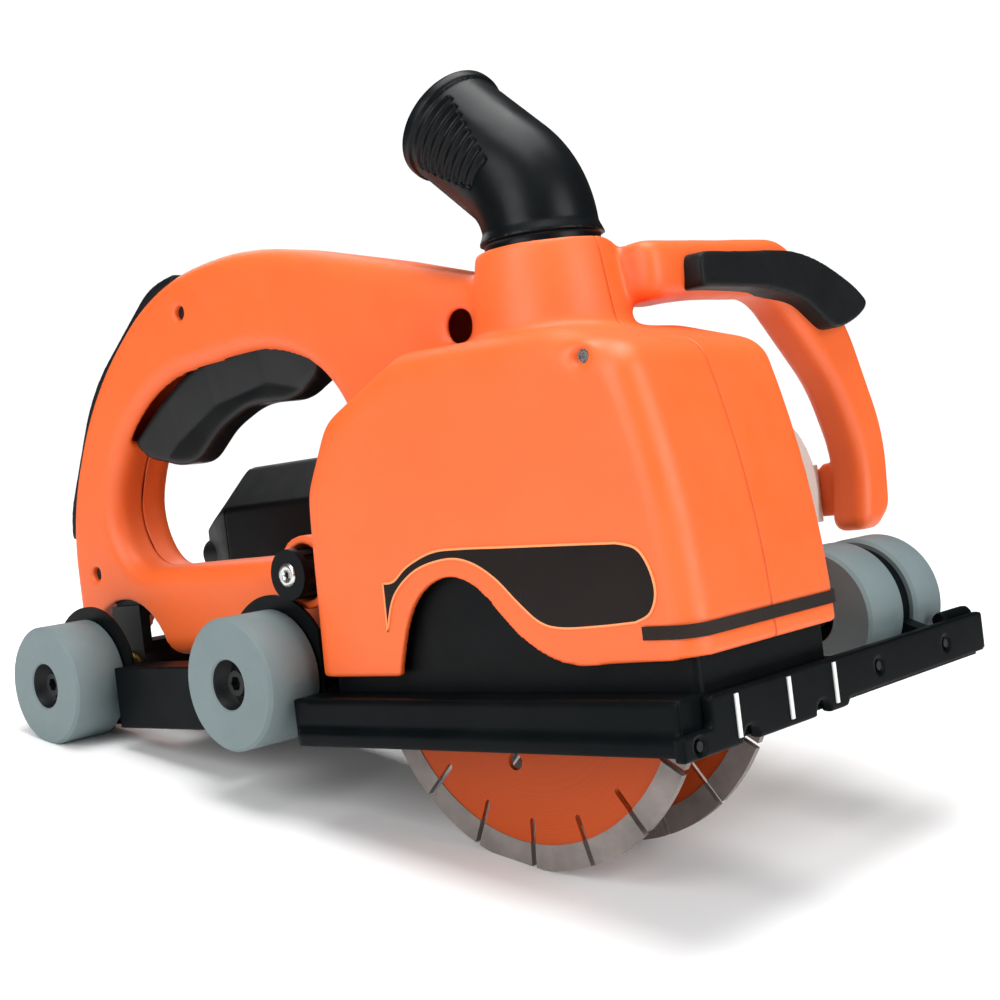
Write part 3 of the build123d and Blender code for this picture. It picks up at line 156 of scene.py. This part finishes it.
class Shader:
    """A Principled material with a few helpers for its node tree."""

    def __init__(self, name, **values):
        self.material = bpy.data.materials.new(name)
        self.material.use_nodes = True
        self.tree = self.material.node_tree
        self.out = self.tree.nodes["Principled BSDF"]
        for socket, value in values.items():
            self.out.inputs[socket.replace("_", " ")].default_value = value
        self.coords = self.node("ShaderNodeTexCoord").outputs["Object"]

    def node(self, kind, **settings):
        """A new node with its settings."""
        made = self.tree.nodes.new(kind)
        for key, value in settings.items():
            setattr(made, key, value)
        return made

    def link(self, a, b):
        """Joins an output socket to an input socket."""
        self.tree.links.new(a, b)

    def noise(self, scale, detail, rough, stretch=None):
        """Noise value in object space; scale is in features per metre."""
        made = self.node("ShaderNodeTexNoise")
        made.inputs["Scale"].default_value = scale
        made.inputs["Detail"].default_value = detail
        made.inputs["Roughness"].default_value = rough
        source = self.coords
        if stretch:
            mapping = self.node("ShaderNodeMapping")
            mapping.inputs["Scale"].default_value = stretch
            self.link(source, mapping.inputs["Vector"])
            source = mapping.outputs["Vector"]
        self.link(source, made.inputs["Vector"])
        return made.outputs["Fac"]

    def ramp(self, value, *stops):
        """Colour ramp between two (place, colour) stops."""
        made = self.node("ShaderNodeValToRGB")
        for element, (place, colour) in zip(made.color_ramp.elements, stops):
            element.position = place
            element.color = (*colour, 1)
        self.link(value, made.inputs["Fac"])
        return made.outputs["Color"]

    def span(self, value, low, high, start=0.3, end=0.7):
        """Maps a value from start-end onto low-high."""
        made = self.node("ShaderNodeMapRange")
        for socket, number in (("From Min", start), ("From Max", end), ("To Min", low), ("To Max", high)):
            made.inputs[socket].default_value = number
        self.link(value, made.inputs["Value"])
        return made.outputs["Result"]

    def mix(self, factor, a, b):
        """Colour mix; a and b are sockets or RGBA values."""
        made = self.node("ShaderNodeMix", data_type="RGBA")
        for socket, value in ((made.inputs[0], factor), (made.inputs[6], a), (made.inputs[7], b)):
            if isinstance(value, (tuple, list, int, float)):
                socket.default_value = value
            else:
                self.link(value, socket)
        return made.outputs[2]

    def colour(self, socket):
        """Drives the base colour."""
        self.link(socket, self.out.inputs["Base Color"])

    def roughness(self, socket, low, high):
        """Drives the roughness, from low to high."""
        self.link(self.span(socket, low, high), self.out.inputs["Roughness"])

    def bump(self, height, depth):
        """Bumps the surface by a height value, as deep as given in metres."""
        made = self.node("ShaderNodeBump")
        made.inputs["Strength"].default_value = 1.0
        made.inputs["Distance"].default_value = depth
        self.link(height, made.inputs["Height"])
        self.link(made.outputs["Normal"], self.out.inputs["Normal"])


# Noise patterns: features per metre, detail, roughness.
CLOUD = (14, 4, 0.6)
SPECK = (230, 6, 0.7)
GLOSS = (60, 5, 0.65)
STAIN = (45, 5, 0.6)
SPECK_GREY = (150, 150, 148)
SPECK_FROM, SPECK_TO = 0.5, 0.8
LIGHT_LIFT = 0.003


def shades(rgb, vary, lift=0.0):
    """A darker and a lighter shade of a display colour, in linear values."""
    base = linear(rgb)[:3]
    return tuple(c * (1 - vary) for c in base), tuple(min(1, c * (1 + vary) + lift) for c in base)


def moulded(name, rgb, rough, grain=1400.0, depth=0.00003, vary=0.12, dust=None, shine=0.3):
    """Injection-moulded plastic: fine grain, faint mottling and a slightly uneven gloss."""
    shader = Shader(name, Roughness=rough)
    shader.out.inputs["Specular IOR Level"].default_value = shine
    dark, light = shades(rgb, vary, LIGHT_LIFT)
    tone = shader.ramp(shader.noise(*CLOUD), (0.3, dark), (0.7, light))
    if dust:
        speck = shader.span(shader.noise(*SPECK), 0, dust, SPECK_FROM, SPECK_TO)
        tone = shader.mix(speck, tone, linear(SPECK_GREY))
    shader.colour(tone)
    shader.roughness(shader.noise(*GLOSS), rough - 0.06, rough + 0.08)
    shader.bump(shader.noise(grain, 2, 0.5), depth)
    return shader


def metal(name, rgb, rough, stretch=(1, 1, 1), scale=900.0, depth=0.00001, vary=0.15, metallic=1.0):
    """Machined or cast metal with directional marks and stains."""
    shader = Shader(name, Roughness=rough, Metallic=metallic)
    marks = shader.noise(scale, 3, 0.6, stretch)
    dark, light = shades(rgb, vary)
    shader.colour(shader.ramp(shader.noise(*STAIN), (0.3, dark), (0.7, light)))
    shader.roughness(marks, rough - 0.08, rough + 0.1)
    shader.bump(marks, depth)
    return shader


def turned(name, rgb, rough, centre, axis, rings=2600.0, depth=0.000012, metallic=1.0, vary=0.12):
    """Turned metal: fine rings about an axis through a centre."""
    shader = Shader(name, Roughness=rough, Metallic=metallic)
    mapping = shader.node("ShaderNodeMapping")
    mapping.inputs["Location"].default_value = [-c for c in centre]
    mapping.inputs["Scale"].default_value = [0.0 if letter == axis else 1.0 for letter in "XYZ"]
    shader.link(shader.coords, mapping.inputs["Vector"])
    distance = shader.node("ShaderNodeVectorMath", operation="LENGTH")
    shader.link(mapping.outputs["Vector"], distance.inputs[0])
    noise = shader.node("ShaderNodeTexNoise", noise_dimensions="1D")
    noise.inputs["Scale"].default_value = rings
    noise.inputs["Detail"].default_value = 3
    shader.link(distance.outputs["Value"], noise.inputs["W"])
    ring = noise.outputs["Fac"]
    dark, light = shades(rgb, vary)
    shader.colour(shader.ramp(ring, (0.35, dark), (0.65, light)))
    shader.roughness(ring, rough - 0.06, rough + 0.08)
    shader.bump(ring, depth)
    return shader


SPINDLE = (0, 0, 0.0287)
AXLE_Z = 0.026
orange = moulded("orange_plastic", (234, 97, 30), 0.5, grain=1700, depth=0.00002, vary=0.05, shine=0.6)
# A lighter, lit shade of the orange: a painted highlight, used for the bead round the arch panel.
orange_highlight = moulded("orange_highlight", (250, 150, 95), 0.5, grain=1700, depth=0.00001, vary=0.04)
black_plastic = moulded("black_plastic", (7, 10, 12), 0.42, grain=1500, depth=0.00004, shine=0.09)
elbow_black = moulded("elbow_black", (5, 9, 12), 0.34, grain=1100, depth=0.00002, shine=0.16)
soft_black = moulded("soft_black", (12, 15, 17), 0.55, grain=2200, depth=0.00006, shine=0.2)
trigger_black = moulded("trigger_black", (9, 12, 14), 0.34, grain=1300, depth=0.00003, shine=0.25)
base_black = moulded("base_black", (3, 7, 9), 0.36, grain=900, depth=0.00002, shine=0.05)
wheel_grey = moulded("wheel_grey", (108, 123, 125), 0.55, grain=1200, depth=0.00005, vary=0.06, dust=0.1)
decal_black = moulded("decal_black", (26, 20, 18), 0.3, grain=3000, depth=0.000008, shine=0.1)
blade_paint = turned("blade_paint", (180, 70, 20), 0.5, SPINDLE, "Y", rings=1500, metallic=0.0, vary=0.06)
blade_paint.out.inputs["Specular IOR Level"].default_value = 0.2
segment_grit = metal("segment_grit", (132, 124, 120), 0.6, scale=2600, depth=0.0001, vary=0.3, metallic=0.3)
gear_head = metal("gear_head", (214, 208, 200), 0.45, scale=1500, depth=0.00005, vary=0.05, metallic=0.1)
axle_black = turned("axle_black", (22, 24, 26), 0.5, (0, 0, AXLE_Z), "Y", metallic=0.4)
turned_steel = turned("turned_steel", (168, 170, 174), 0.3, SPINDLE, "Y")
plate_steel = metal("plate_steel", (120, 123, 126), 0.35, stretch=(1, 1, 0.1), scale=1500)
gear_steel = metal("gear_steel", (130, 132, 136), 0.32, scale=1200)
bright_steel = metal("bright_steel", (200, 200, 198), 0.28, scale=1600)
copper = metal("copper", (190, 108, 62), 0.4, stretch=(1, 0.1, 1), scale=2200, depth=0.00006)
brass = metal("brass", (206, 162, 84), 0.32)
lamination = metal("lamination", (96, 98, 102), 0.5, stretch=(12, 0.2, 0.2), scale=300, depth=0.00008)
carbon = metal("carbon", (40, 40, 42), 0.7, metallic=0.0)
pale = moulded("pale_strip", (222, 224, 222), 0.4, grain=2000, depth=0.00001)
mesh_weave = moulded("vent_weave", (30, 21, 16), 0.8, grain=2400, depth=0.0002, vary=0.4)


def paint(shader, *names):
    """Gives CAD nodes a material."""
    for name in names:
        node = NODES[name]
        node.data.materials.clear()
        node.data.materials.append(shader.material)


paint(orange, "body_shell_near", "body_shell_far", "front_handle_front", "front_handle_back")
paint(black_plastic, "motor_housing", "motor_end_cap", "mudguards", "dust_skirt", "switch_body",
      "spindle_lock", "cooling_fan", "depth_knob")
paint(elbow_black, "dust_elbow")
paint(soft_black, "rear_grip", "front_grip", "cord_bush")
paint(trigger_black, "trigger")
paint(base_black, "sole_frame", "front_plate", "wheel_bracket")
paint(wheel_grey, "wheel_rear_near", "wheel_rear_far", "wheel_mid_near", "wheel_front_inner",
      "wheel_front_outer")
paint(decal_black, "decal_panel")
paint(blade_paint, "blade_near_core", "blade_far_core")
paint(segment_grit, "blade_near_segments", "blade_far_segments")
paint(gear_head, "gear_housing", "gear_cover")
paint(turned_steel, "spindle", "inner_flange", "blade_spacer", "clamp_nut", "rotor_shaft")
paint(axle_black, "rear_axle", "stub_axles")
paint(gear_steel, "driven_gear", "cross_gear", "cross_shaft", "bevel_pinion", "bevel_wheel")
paint(plate_steel, "depth_plate")
paint(bright_steel, "ball_bearings", "clamp_plate")
paint(axle_black, "plate_screws", "pivot_hanger", "shell_screws")
paint(copper, "rotor_windings", "field_windings", "commutator")
paint(brass, "brush_holders", "pivot_bushes")
paint(lamination, "rotor_core", "stator_core")
paint(carbon, "carbon_brushes")
paint(pale, "index_marks")
paint(mesh_weave, "vent_strip")


# ---------------------------------------------------------------- mesh helpers
RELAX_FACTOR = 0.5
WEIGHT_STEPS = 20


def evaluated_copy(obj):
    """The object's mesh with its modifiers applied; the object itself is removed."""
    graph = bpy.context.evaluated_depsgraph_get()
    mesh = bpy.data.meshes.new_from_object(obj.evaluated_get(graph))
    bpy.data.objects.remove(obj)
    return mesh


def taken(build, name):
    """The bmesh as a mesh; the bmesh itself is freed."""
    mesh = bpy.data.meshes.new(name)
    build.to_mesh(mesh)
    build.free()
    return mesh


def finished(name, mesh, shader, body, replaced=(), smooth=True):
    """Turns a mesh into a piece that rides on a body."""
    mesh.materials.clear()
    mesh.materials.append(shader.material)
    mesh.polygons.foreach_set("use_smooth", [smooth] * len(mesh.polygons))
    piece = link_object(name, mesh)
    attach(piece, body)
    if replaced:
        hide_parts(*replaced)
    return piece


def rounded(mesh, voxel, rounds):
    """An even skin of small faces over closed meshes, its edges rounded; the voxel is in mm."""
    work = link_object("rounded", mesh)
    remesh = work.modifiers.new("remesh", "REMESH")
    remesh.mode = "VOXEL"
    remesh.voxel_size = voxel * MM
    relax = work.modifiers.new("relax", "SMOOTH")
    relax.factor = RELAX_FACTOR
    relax.iterations = rounds
    return evaluated_copy(work)


def skin(nodes, voxel, rounds):
    """CAD nodes' surface as one such skin."""
    build = bmesh.new()
    for node in nodes:
        build.from_mesh(NODES[node].data)
    bmesh.ops.remove_doubles(build, verts=build.verts, dist=1e-6)
    return rounded(taken(build, "skin"), voxel, rounds)


def relaxed(mesh, weight, rounds):
    """Smooths only where weight(point) is above zero."""
    work = link_object("relax", mesh)
    group = work.vertex_groups.new(name="soft")
    shares = {}
    for vertex in mesh.vertices:
        share = round(weight(vertex.co) * WEIGHT_STEPS) / WEIGHT_STEPS
        if share > 0:
            shares.setdefault(share, []).append(vertex.index)
    for share, indices in shares.items():
        group.add(indices, share, "REPLACE")
    relax = work.modifiers.new("relax", "SMOOTH")
    relax.vertex_group = "soft"
    relax.factor = RELAX_FACTOR
    relax.iterations = rounds
    return evaluated_copy(work)


def cut(mesh, cutter):
    """The mesh less a closed cutter mesh."""
    work = link_object("cut", mesh)
    tool = link_object("cutter", cutter)
    boolean = work.modifiers.new("cut", "BOOLEAN")
    boolean.operation = "DIFFERENCE"
    boolean.solver = "EXACT"
    boolean.object = tool
    result = evaluated_copy(work)
    bpy.data.objects.remove(tool)
    return result


def bead(points, radius, sides=10):
    """A round bead along a closed line of points."""
    count = len(points)
    build = bmesh.new()
    rings = []
    for i, point in enumerate(points):
        along = (points[(i + 1) % count] - points[i - 1]).normalized()
        side = along.cross(Vector((0, 1, 0))).normalized()
        over = side.cross(along)
        ring = []
        for k in range(sides):
            turn = 2 * math.pi * k / sides
            ring.append(build.verts.new(point + (side * math.cos(turn) + over * math.sin(turn)) * radius))
        rings.append(ring)
    for i in range(count):
        a, b = rings[i], rings[(i + 1) % count]
        for k in range(sides):
            build.faces.new((a[k], a[(k + 1) % sides], b[(k + 1) % sides], b[k]))
    bmesh.ops.recalc_face_normals(build, faces=build.faces)
    return taken(build, "bead")


def smooth_line(points, steps, closed=False):
    """A Catmull-Rom line through the points."""
    points = [Vector(p) for p in points]
    count = len(points)
    out = []
    last = count if closed else count - 1
    for i in range(last):
        p0 = points[(i - 1) % count] if closed or i > 0 else points[0]
        p1, p2 = points[i], points[(i + 1) % count]
        p3 = points[(i + 2) % count] if closed or i < count - 2 else points[-1]
        for k in range(steps):
            t = k / steps
            out.append(0.5 * (2 * p1 + (p2 - p0) * t + (2 * p0 - 5 * p1 + 4 * p2 - p3) * t * t
                              + (3 * p1 - p0 - 3 * p2 + p3) * t * t * t))
    if not closed:
        out.append(points[-1])
    return out


# ---------------------------------------------------------------- orange body
SEAM = 0.002  # y of the plane where the halves meet
SEAM_GAP = 0.00045
FAR_AWAY = 0.6
BODY_VOXEL = 1.1  # mm
BODY_ROUNDS = 4
BLEND_ROUNDS = 70
LOOP = ["front_handle_front", "front_handle_back"]

# Low corner, high corner and fade distance of the places that flow into each other: the arm, neck
# and roof; the front loop's root in the neck; the arm's shoulder on the guard.
SOFT_ZONES = [((-0.052, -0.060, 0.128), (0.060, 0.060, 0.166), 0.014),
              ((0.020, 0.012, 0.140), (0.056, 0.034, 0.175), 0.012),
              ((-0.095, -0.060, 0.092), (-0.052, -0.020, 0.150), 0.014)]


def near_box(point, low, high, fade):
    """1 inside a box, falling to 0 over the fade distance outside it."""
    away = 0.0
    for value, a, b in zip(point, low, high):
        away = max(away, a - value, value - b)
    return clamp(1 - away / fade)


def soft_weight(point):
    """How strongly a point of the body is relaxed."""
    return max(near_box(point, *zone) for zone in SOFT_ZONES)


def box_mesh(low, high):
    """A closed box between two corners."""
    build = bmesh.new()
    bmesh.ops.create_cube(build, size=1.0)
    low, high = Vector(low), Vector(high)
    size = Matrix.Diagonal((*(high - low), 1.0))
    bmesh.ops.transform(build, matrix=Matrix.Translation((low + high) / 2) @ size, verts=build.verts)
    return taken(build, "box")


body = skin(["body_shell_near", "body_shell_far"] + LOOP, BODY_VOXEL, BODY_ROUNDS)
body = relaxed(body, soft_weight, BLEND_ROUNDS)

# Each half is the whole skin less what lies beyond the seam's gap.
for side, low_y, high_y, also in (("near", SEAM - SEAM_GAP, FAR_AWAY, []),
                                  ("far", -FAR_AWAY, SEAM + SEAM_GAP, LOOP)):
    half = cut(body.copy(), box_mesh((-FAR_AWAY, low_y, -FAR_AWAY), (FAR_AWAY, high_y, FAR_AWAY)))
    finished("shell_" + side, half, orange, "machine", ["body_shell_" + side] + also)


# ---------------------------------------------------------------- black mouldings
def soften(name, voxel, rounds, shader, body):
    """Replaces a CAD node with its own skin, the edges rounded."""
    return finished(name + "_skin", skin([name], voxel, rounds), shader, body, [name])


def prism(outline, axis, low, high):
    """A closed prism in mm: the outline lies across an axis and runs from low to high along it."""
    build = bmesh.new()
    place = {0: lambda a, b: (low, a, b), 1: lambda a, b: (a, low, b)}[axis]
    face = build.faces.new([build.verts.new(Vector(place(a, b)) * MM) for a, b in outline])
    grown = bmesh.ops.extrude_face_region(build, geom=[face])
    lifted = [v for v in grown["geom"] if isinstance(v, bmesh.types.BMVert)]
    step = [0, 0, 0]
    step[axis] = (high - low) * MM
    bmesh.ops.translate(build, verts=lifted, vec=step)
    bmesh.ops.triangulate(build, faces=[f for f in build.faces if len(f.verts) > 4])
    bmesh.ops.recalc_face_normals(build, faces=build.faces)
    return taken(build, "prism")


# The rear grip is a rubber strip that lies almost flush over the back of the handle.
GRIP_SINK = Vector((0.0019, 0, -0.0017))
strip = skin(["rear_grip"], 0.9, 20)
for vertex in strip.vertices:
    vertex.co += GRIP_SINK
finished("rear_grip_skin", strip, soft_black, "machine", ["rear_grip"])

# The front grip is a horn that tapers as it follows the loop down; (y, z) and x range in mm.
FRONT_GRIP = [(32, 152), (32.5, 160.5), (38, 162.8), (59, 163.3), (80, 164.2), (97, 163.9),
              (114, 160.4), (132, 153.6), (142.5, 147.8), (145, 144), (139, 139.6), (127, 135.6),
              (118, 134.9), (110.5, 138.6), (99.7, 144.8), (86, 148.1), (70, 149.9), (44, 150.2),
              (34, 150)]
FRONT_GRIP_X = (44, 57.5)
horn = prism(smooth_line(FRONT_GRIP, 4, closed=True), 0, *FRONT_GRIP_X)
finished("front_grip_skin", rounded(horn, 0.8, 14), soft_black, "machine", ["front_grip"])

# The trigger narrows towards its lower edge.
TRIGGER_TOP = [(-0.238, 0.129), (-0.208, 0.148), (-0.178, 0.161), (-0.142, 0.166), (-0.105, 0.157)]
TRIGGER_TAPER = 0.42
TRIGGER_DEPTH = 0.022


def top_height(x):
    """Height of the trigger's upper edge at x."""
    for (x0, z0), (x1, z1) in zip(TRIGGER_TOP, TRIGGER_TOP[1:]):
        if x <= x1:
            return z0 + (z1 - z0) * max(0.0, (x - x0) / (x1 - x0))
    return TRIGGER_TOP[-1][1]


lever = skin(["trigger"], 0.8, 24)
for vertex in lever.vertices:
    share = clamp((top_height(vertex.co.x) - vertex.co.z) / TRIGGER_DEPTH)
    vertex.co.y = SEAM + (vertex.co.y - SEAM) * (1 - TRIGGER_TAPER * share)
finished("trigger_skin", lever, trigger_black, "trigger_lever", ["trigger"])
soften("motor_housing", 1.0, 4, black_plastic, "machine")

# The end cap is domed: it is stretched backwards, and narrows and lowers to its end.
CAP_FRONT_X = -0.268
CAP_STRETCH = 1.36
CAP_DEPTH = 0.034
CAP_CURVE = 1.2
CAP_NARROWS = 0.30
CAP_LOWERS = 0.50
MOTOR_AXIS = (0.104, 0.072)
cap = skin(["motor_end_cap"], 0.9, 4)
for vertex in cap.vertices:
    reach = CAP_FRONT_X - vertex.co.x
    if reach <= 0:
        continue
    vertex.co.x = CAP_FRONT_X - reach * CAP_STRETCH
    fall = min(1.0, reach * CAP_STRETCH / CAP_DEPTH) ** CAP_CURVE
    vertex.co.y = MOTOR_AXIS[0] + (vertex.co.y - MOTOR_AXIS[0]) * (1 - CAP_NARROWS * fall)
    vertex.co.z = MOTOR_AXIS[1] + (vertex.co.z - MOTOR_AXIS[1]) * (1 - CAP_LOWERS * fall)
finished("motor_cap_skin", cap, black_plastic, "machine", ["motor_end_cap"])
soften("sole_frame", 1.0, 3, base_black, "base")
soften("front_plate", 0.8, 3, base_black, "base")
soften("gear_housing", 1.0, 4, gear_head, "machine")


# ---------------------------------------------------------------- dust elbow with its finger grooves
# A groove runs up and down from the elbow's side by GROOVE_REACH degrees: the first value is for the
# groove nearest the mouth and the other for the last one. GROOVE_EDGE, in metres, and REACH_EDGE, in
# degrees, soften its edges.
BEND = 48.0
BEND_R = 0.033
LEG = 0.0358
NECK_X = 0.012
BEND_Z = 0.176
BEND_CENTRE = (NECK_X - BEND_R, BEND_Z)
GROOVES = 8
GROOVE_FIRST = 0.0088
GROOVE_PITCH = 0.0041
GROOVE_W = 0.0026
GROOVE_DEPTH = 0.0017
GROOVE_REACH = (42.0, 17.0)
OUTSIDE_R = 0.0192
LIP_R = 0.0216
LIP_W = 0.007
LIP_PULL = 0.6
GROOVE_EDGE = 0.0006
REACH_EDGE = 3.0
MOUTH_SIDE = Vector((math.cos(math.radians(BEND)), 0, math.sin(math.radians(BEND))))


def elbow_place(point):
    """Distance back from the mouth along the centreline, and the offset from it in the bend's plane."""
    bend = math.radians(BEND)
    out_x, out_z = -math.sin(bend), math.cos(bend)
    end_x = BEND_CENTRE[0] + BEND_R * math.cos(bend)
    end_z = BEND_CENTRE[1] + BEND_R * math.sin(bend)
    along = (point.x - end_x) * out_x + (point.z - end_z) * out_z
    if along >= 0:
        across = (point.x - end_x) * out_z - (point.z - end_z) * out_x
        return LEG - along, across
    dx, dz = point.x - BEND_CENTRE[0], point.z - BEND_CENTRE[1]
    turn = math.atan2(dz, dx)
    return LEG + (bend - turn) * BEND_R, math.hypot(dx, dz) - BEND_R


def smoothstep(value):
    """Eases from 0 to 1."""
    value = clamp(value)
    return value * value * (3 - 2 * value)


elbow = skin(["dust_elbow"], 0.62, 4)
for vertex in elbow.vertices:
    back_from_mouth, across = elbow_place(vertex.co)
    sideways = vertex.co.y - SEAM
    radius = math.hypot(across, sideways)
    if radius < OUTSIDE_R:
        continue
    if radius > LIP_R and back_from_mouth < LIP_W:
        pull = Vector((0, sideways, 0)) + MOUTH_SIDE * across
        vertex.co -= pull * (1 - LIP_R / radius) * LIP_PULL
    k = round((back_from_mouth - GROOVE_FIRST) / GROOVE_PITCH)
    if not 0 <= k < GROOVES:
        continue
    off = abs(back_from_mouth - GROOVE_FIRST - k * GROOVE_PITCH)
    reach = GROOVE_REACH[0] + (GROOVE_REACH[1] - GROOVE_REACH[0]) * k / (GROOVES - 1)
    turned_by = math.degrees(math.asin(min(1.0, abs(across) / radius)))
    share = smoothstep((GROOVE_W / 2 - off) / GROOVE_EDGE + 0.5)
    share *= smoothstep((reach - turned_by) / REACH_EDGE + 0.5)
    if share > 0:
        inward = Vector((0, -sideways, 0)) / radius
        vertex.co += inward * GROOVE_DEPTH * share
finished("elbow_skin", elbow, elbow_black, "elbow", ["dust_elbow"])


# ---------------------------------------------------------------- dark panel along the arch
# In mm: the outline, as (x, z), follows the arch below and runs level above, and the faces are y values.
PANEL_ARCH = [(-45.2, 42), (-39.8, 54.5), (-27.5, 63.2), (-11.5, 66.4), (0, 64.6), (10.5, 58.6), (20, 49.8),
              (28.5, 43.2), (38, 41), (54, 41.2), (68, 42)]
PANEL_TIP = [(68, 42), (74, 44.6), (77, 51), (75.6, 59), (71.5, 65), (64, 67.2)]
PANEL_TOP = [(64, 67.2), (40, 68.1), (16, 68.9), (-4, 69.6), (-18, 69.2), (-31, 65), (-39, 60), (-45.2, 59.5)]
NEAR_FACE = -42.0
PANEL_BACK = NEAR_FACE + 0.2
PANEL_FRONT = NEAR_FACE - 0.4
RIM_Y = NEAR_FACE - 0.2
RIM_R = 0.45
rim = [p for part in (PANEL_ARCH, PANEL_TIP, PANEL_TOP) for p in smooth_line(part, 6)[:-1]]
finished("arch_panel", prism(rim, 1, PANEL_BACK, PANEL_FRONT), decal_black, "machine",
         ["decal_panel"], smooth=False)
# The bead round the panel is painted a lighter orange: a painted highlight along the panel's rim.
rim_highlight = bead([Vector((x, RIM_Y, z)) * MM for x, z in rim], RIM_R * MM)
finished("panel_rim_highlight", rim_highlight, orange_highlight, "machine")


# ---------------------------------------------------------------- wheels
WHEEL_R = 0.026
RIM_EDGE = 0.0012
HUB_R = 0.0098
HUB_DEPTH = 0.009
HUB_EDGE = 0.0006
HUB_TOLERANCE = 0.0001
AXLE_HOLE_R = 0.0051
SMOOTH_UNDER = 0.2  # only faces whose normal has less y than this are shaded smooth


def lathe(profile, centre_x, centre_z, steps=96):
    """A closed ring turned about a Y axis; the profile is (y, radius) round its section."""
    build = bmesh.new()
    rings = []
    for k in range(steps):
        turn = 2 * math.pi * k / steps
        rings.append([build.verts.new((centre_x + r * math.cos(turn), y, centre_z + r * math.sin(turn)))
                      for y, r in profile])
    count = len(profile)
    for k in range(steps):
        a, b = rings[k], rings[(k + 1) % steps]
        for i in range(count):
            j = (i + 1) % count
            build.faces.new((a[i], a[j], b[j], b[i]))
    bmesh.ops.recalc_face_normals(build, faces=build.faces)
    return taken(build, "lathe")


def wheel(node, body_name):
    """A plain wheel with a broken edge and a hub recess on each side, the recess painted dark as painted
    shade.
    """
    low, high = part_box(node)
    centre_x = (low.x + high.x) / 2
    mouth = HUB_R + HUB_EDGE
    near_half = [(low.y + HUB_DEPTH, AXLE_HOLE_R), (low.y + HUB_DEPTH, HUB_R), (low.y + HUB_EDGE, HUB_R),
                 (low.y, mouth), (low.y, WHEEL_R - RIM_EDGE), (low.y + RIM_EDGE, WHEEL_R)]
    far_half = [(low.y + high.y - y, r) for y, r in reversed(near_half)]
    section = lathe(near_half + far_half, centre_x, AXLE_Z)
    piece = finished(node + "_turned", section, wheel_grey, body_name, [node])
    piece.data.materials.append(axle_black.material)
    # Faces inside the hub recess take the dark axle material: painted shade in the hole.
    for polygon in piece.data.polygons:
        corners = [piece.data.vertices[i].co for i in polygon.vertices]
        if all(math.hypot(c.x - centre_x, c.z - AXLE_Z) < HUB_R + HUB_TOLERANCE for c in corners):
            polygon.material_index = 1
        polygon.use_smooth = abs(polygon.normal.y) < SMOOTH_UNDER


for node, body_name in (("wheel_rear_near", "rear_near_wheel"), ("wheel_rear_far", "rear_far_wheel"),
                        ("wheel_mid_near", "mid_wheel"), ("wheel_front_inner", "front_inner_wheel"),
                        ("wheel_front_outer", "front_outer_wheel")):
    wheel(node, body_name)


# ---------------------------------------------------------------- screws
# The screw in the neck is bright, and one of the handle's holes stays empty.
OPEN_HOLE = Vector((-0.018, 0.148))
BRIGHT_X = 0.03
HOLE_R = 0.008


def screws(name, keep, shader, replaced):
    """The shell screws whose place keep(x, z) accepts."""
    build = bmesh.new()
    build.from_mesh(NODES["shell_screws"].data)
    gone = [v for v in build.verts if not keep(v.co.x, v.co.z)]
    bmesh.ops.delete(build, geom=gone, context="VERTS")
    finished(name, taken(build, name), shader, "machine", replaced, smooth=False)


def in_handle(x, z):
    """Whether a screw at (x, z) is a dark one of the handle."""
    return x < BRIGHT_X and (Vector((x, z)) - OPEN_HOLE).length > HOLE_R


screws("neck_screw", lambda x, z: x > BRIGHT_X, bright_steel, ["shell_screws"])
screws("handle_screws", in_handle, axle_black, [])

# A bright washer on the clamp knob, as (mm from the knob's face, mm radius) round its section.
KNOB = (-0.1025, 0.065)
KNOB_FACE_Y = -0.038
KNOB_WASHER = [(0.4, 1.2), (-0.6, 1.4), (-0.8, 4.2), (0.4, 5.2)]
washer = lathe([(KNOB_FACE_Y + y * MM, r * MM) for y, r in KNOB_WASHER], *KNOB, steps=48)
finished("knob_washer", washer, bright_steel, "clamp_knob")


# ---------------------------------------------------------------- floor
FLOOR_RADIUS = 0.9
FLOOR_WHITE = (0.97, 0.97, 0.97, 1)
build = bmesh.new()
bmesh.ops.create_circle(build, cap_ends=True, segments=96, radius=FLOOR_RADIUS)
floor = link_object("floor", taken(build, "floor"))
floor.matrix_world = facing(FLOOR_POINT, floor_side, floor_deep, floor_up)
floor_shader = Shader("floor_white", Roughness=0.9)
floor_shader.out.inputs["Base Color"].default_value = FLOOR_WHITE
floor.data.materials.append(floor_shader.material)
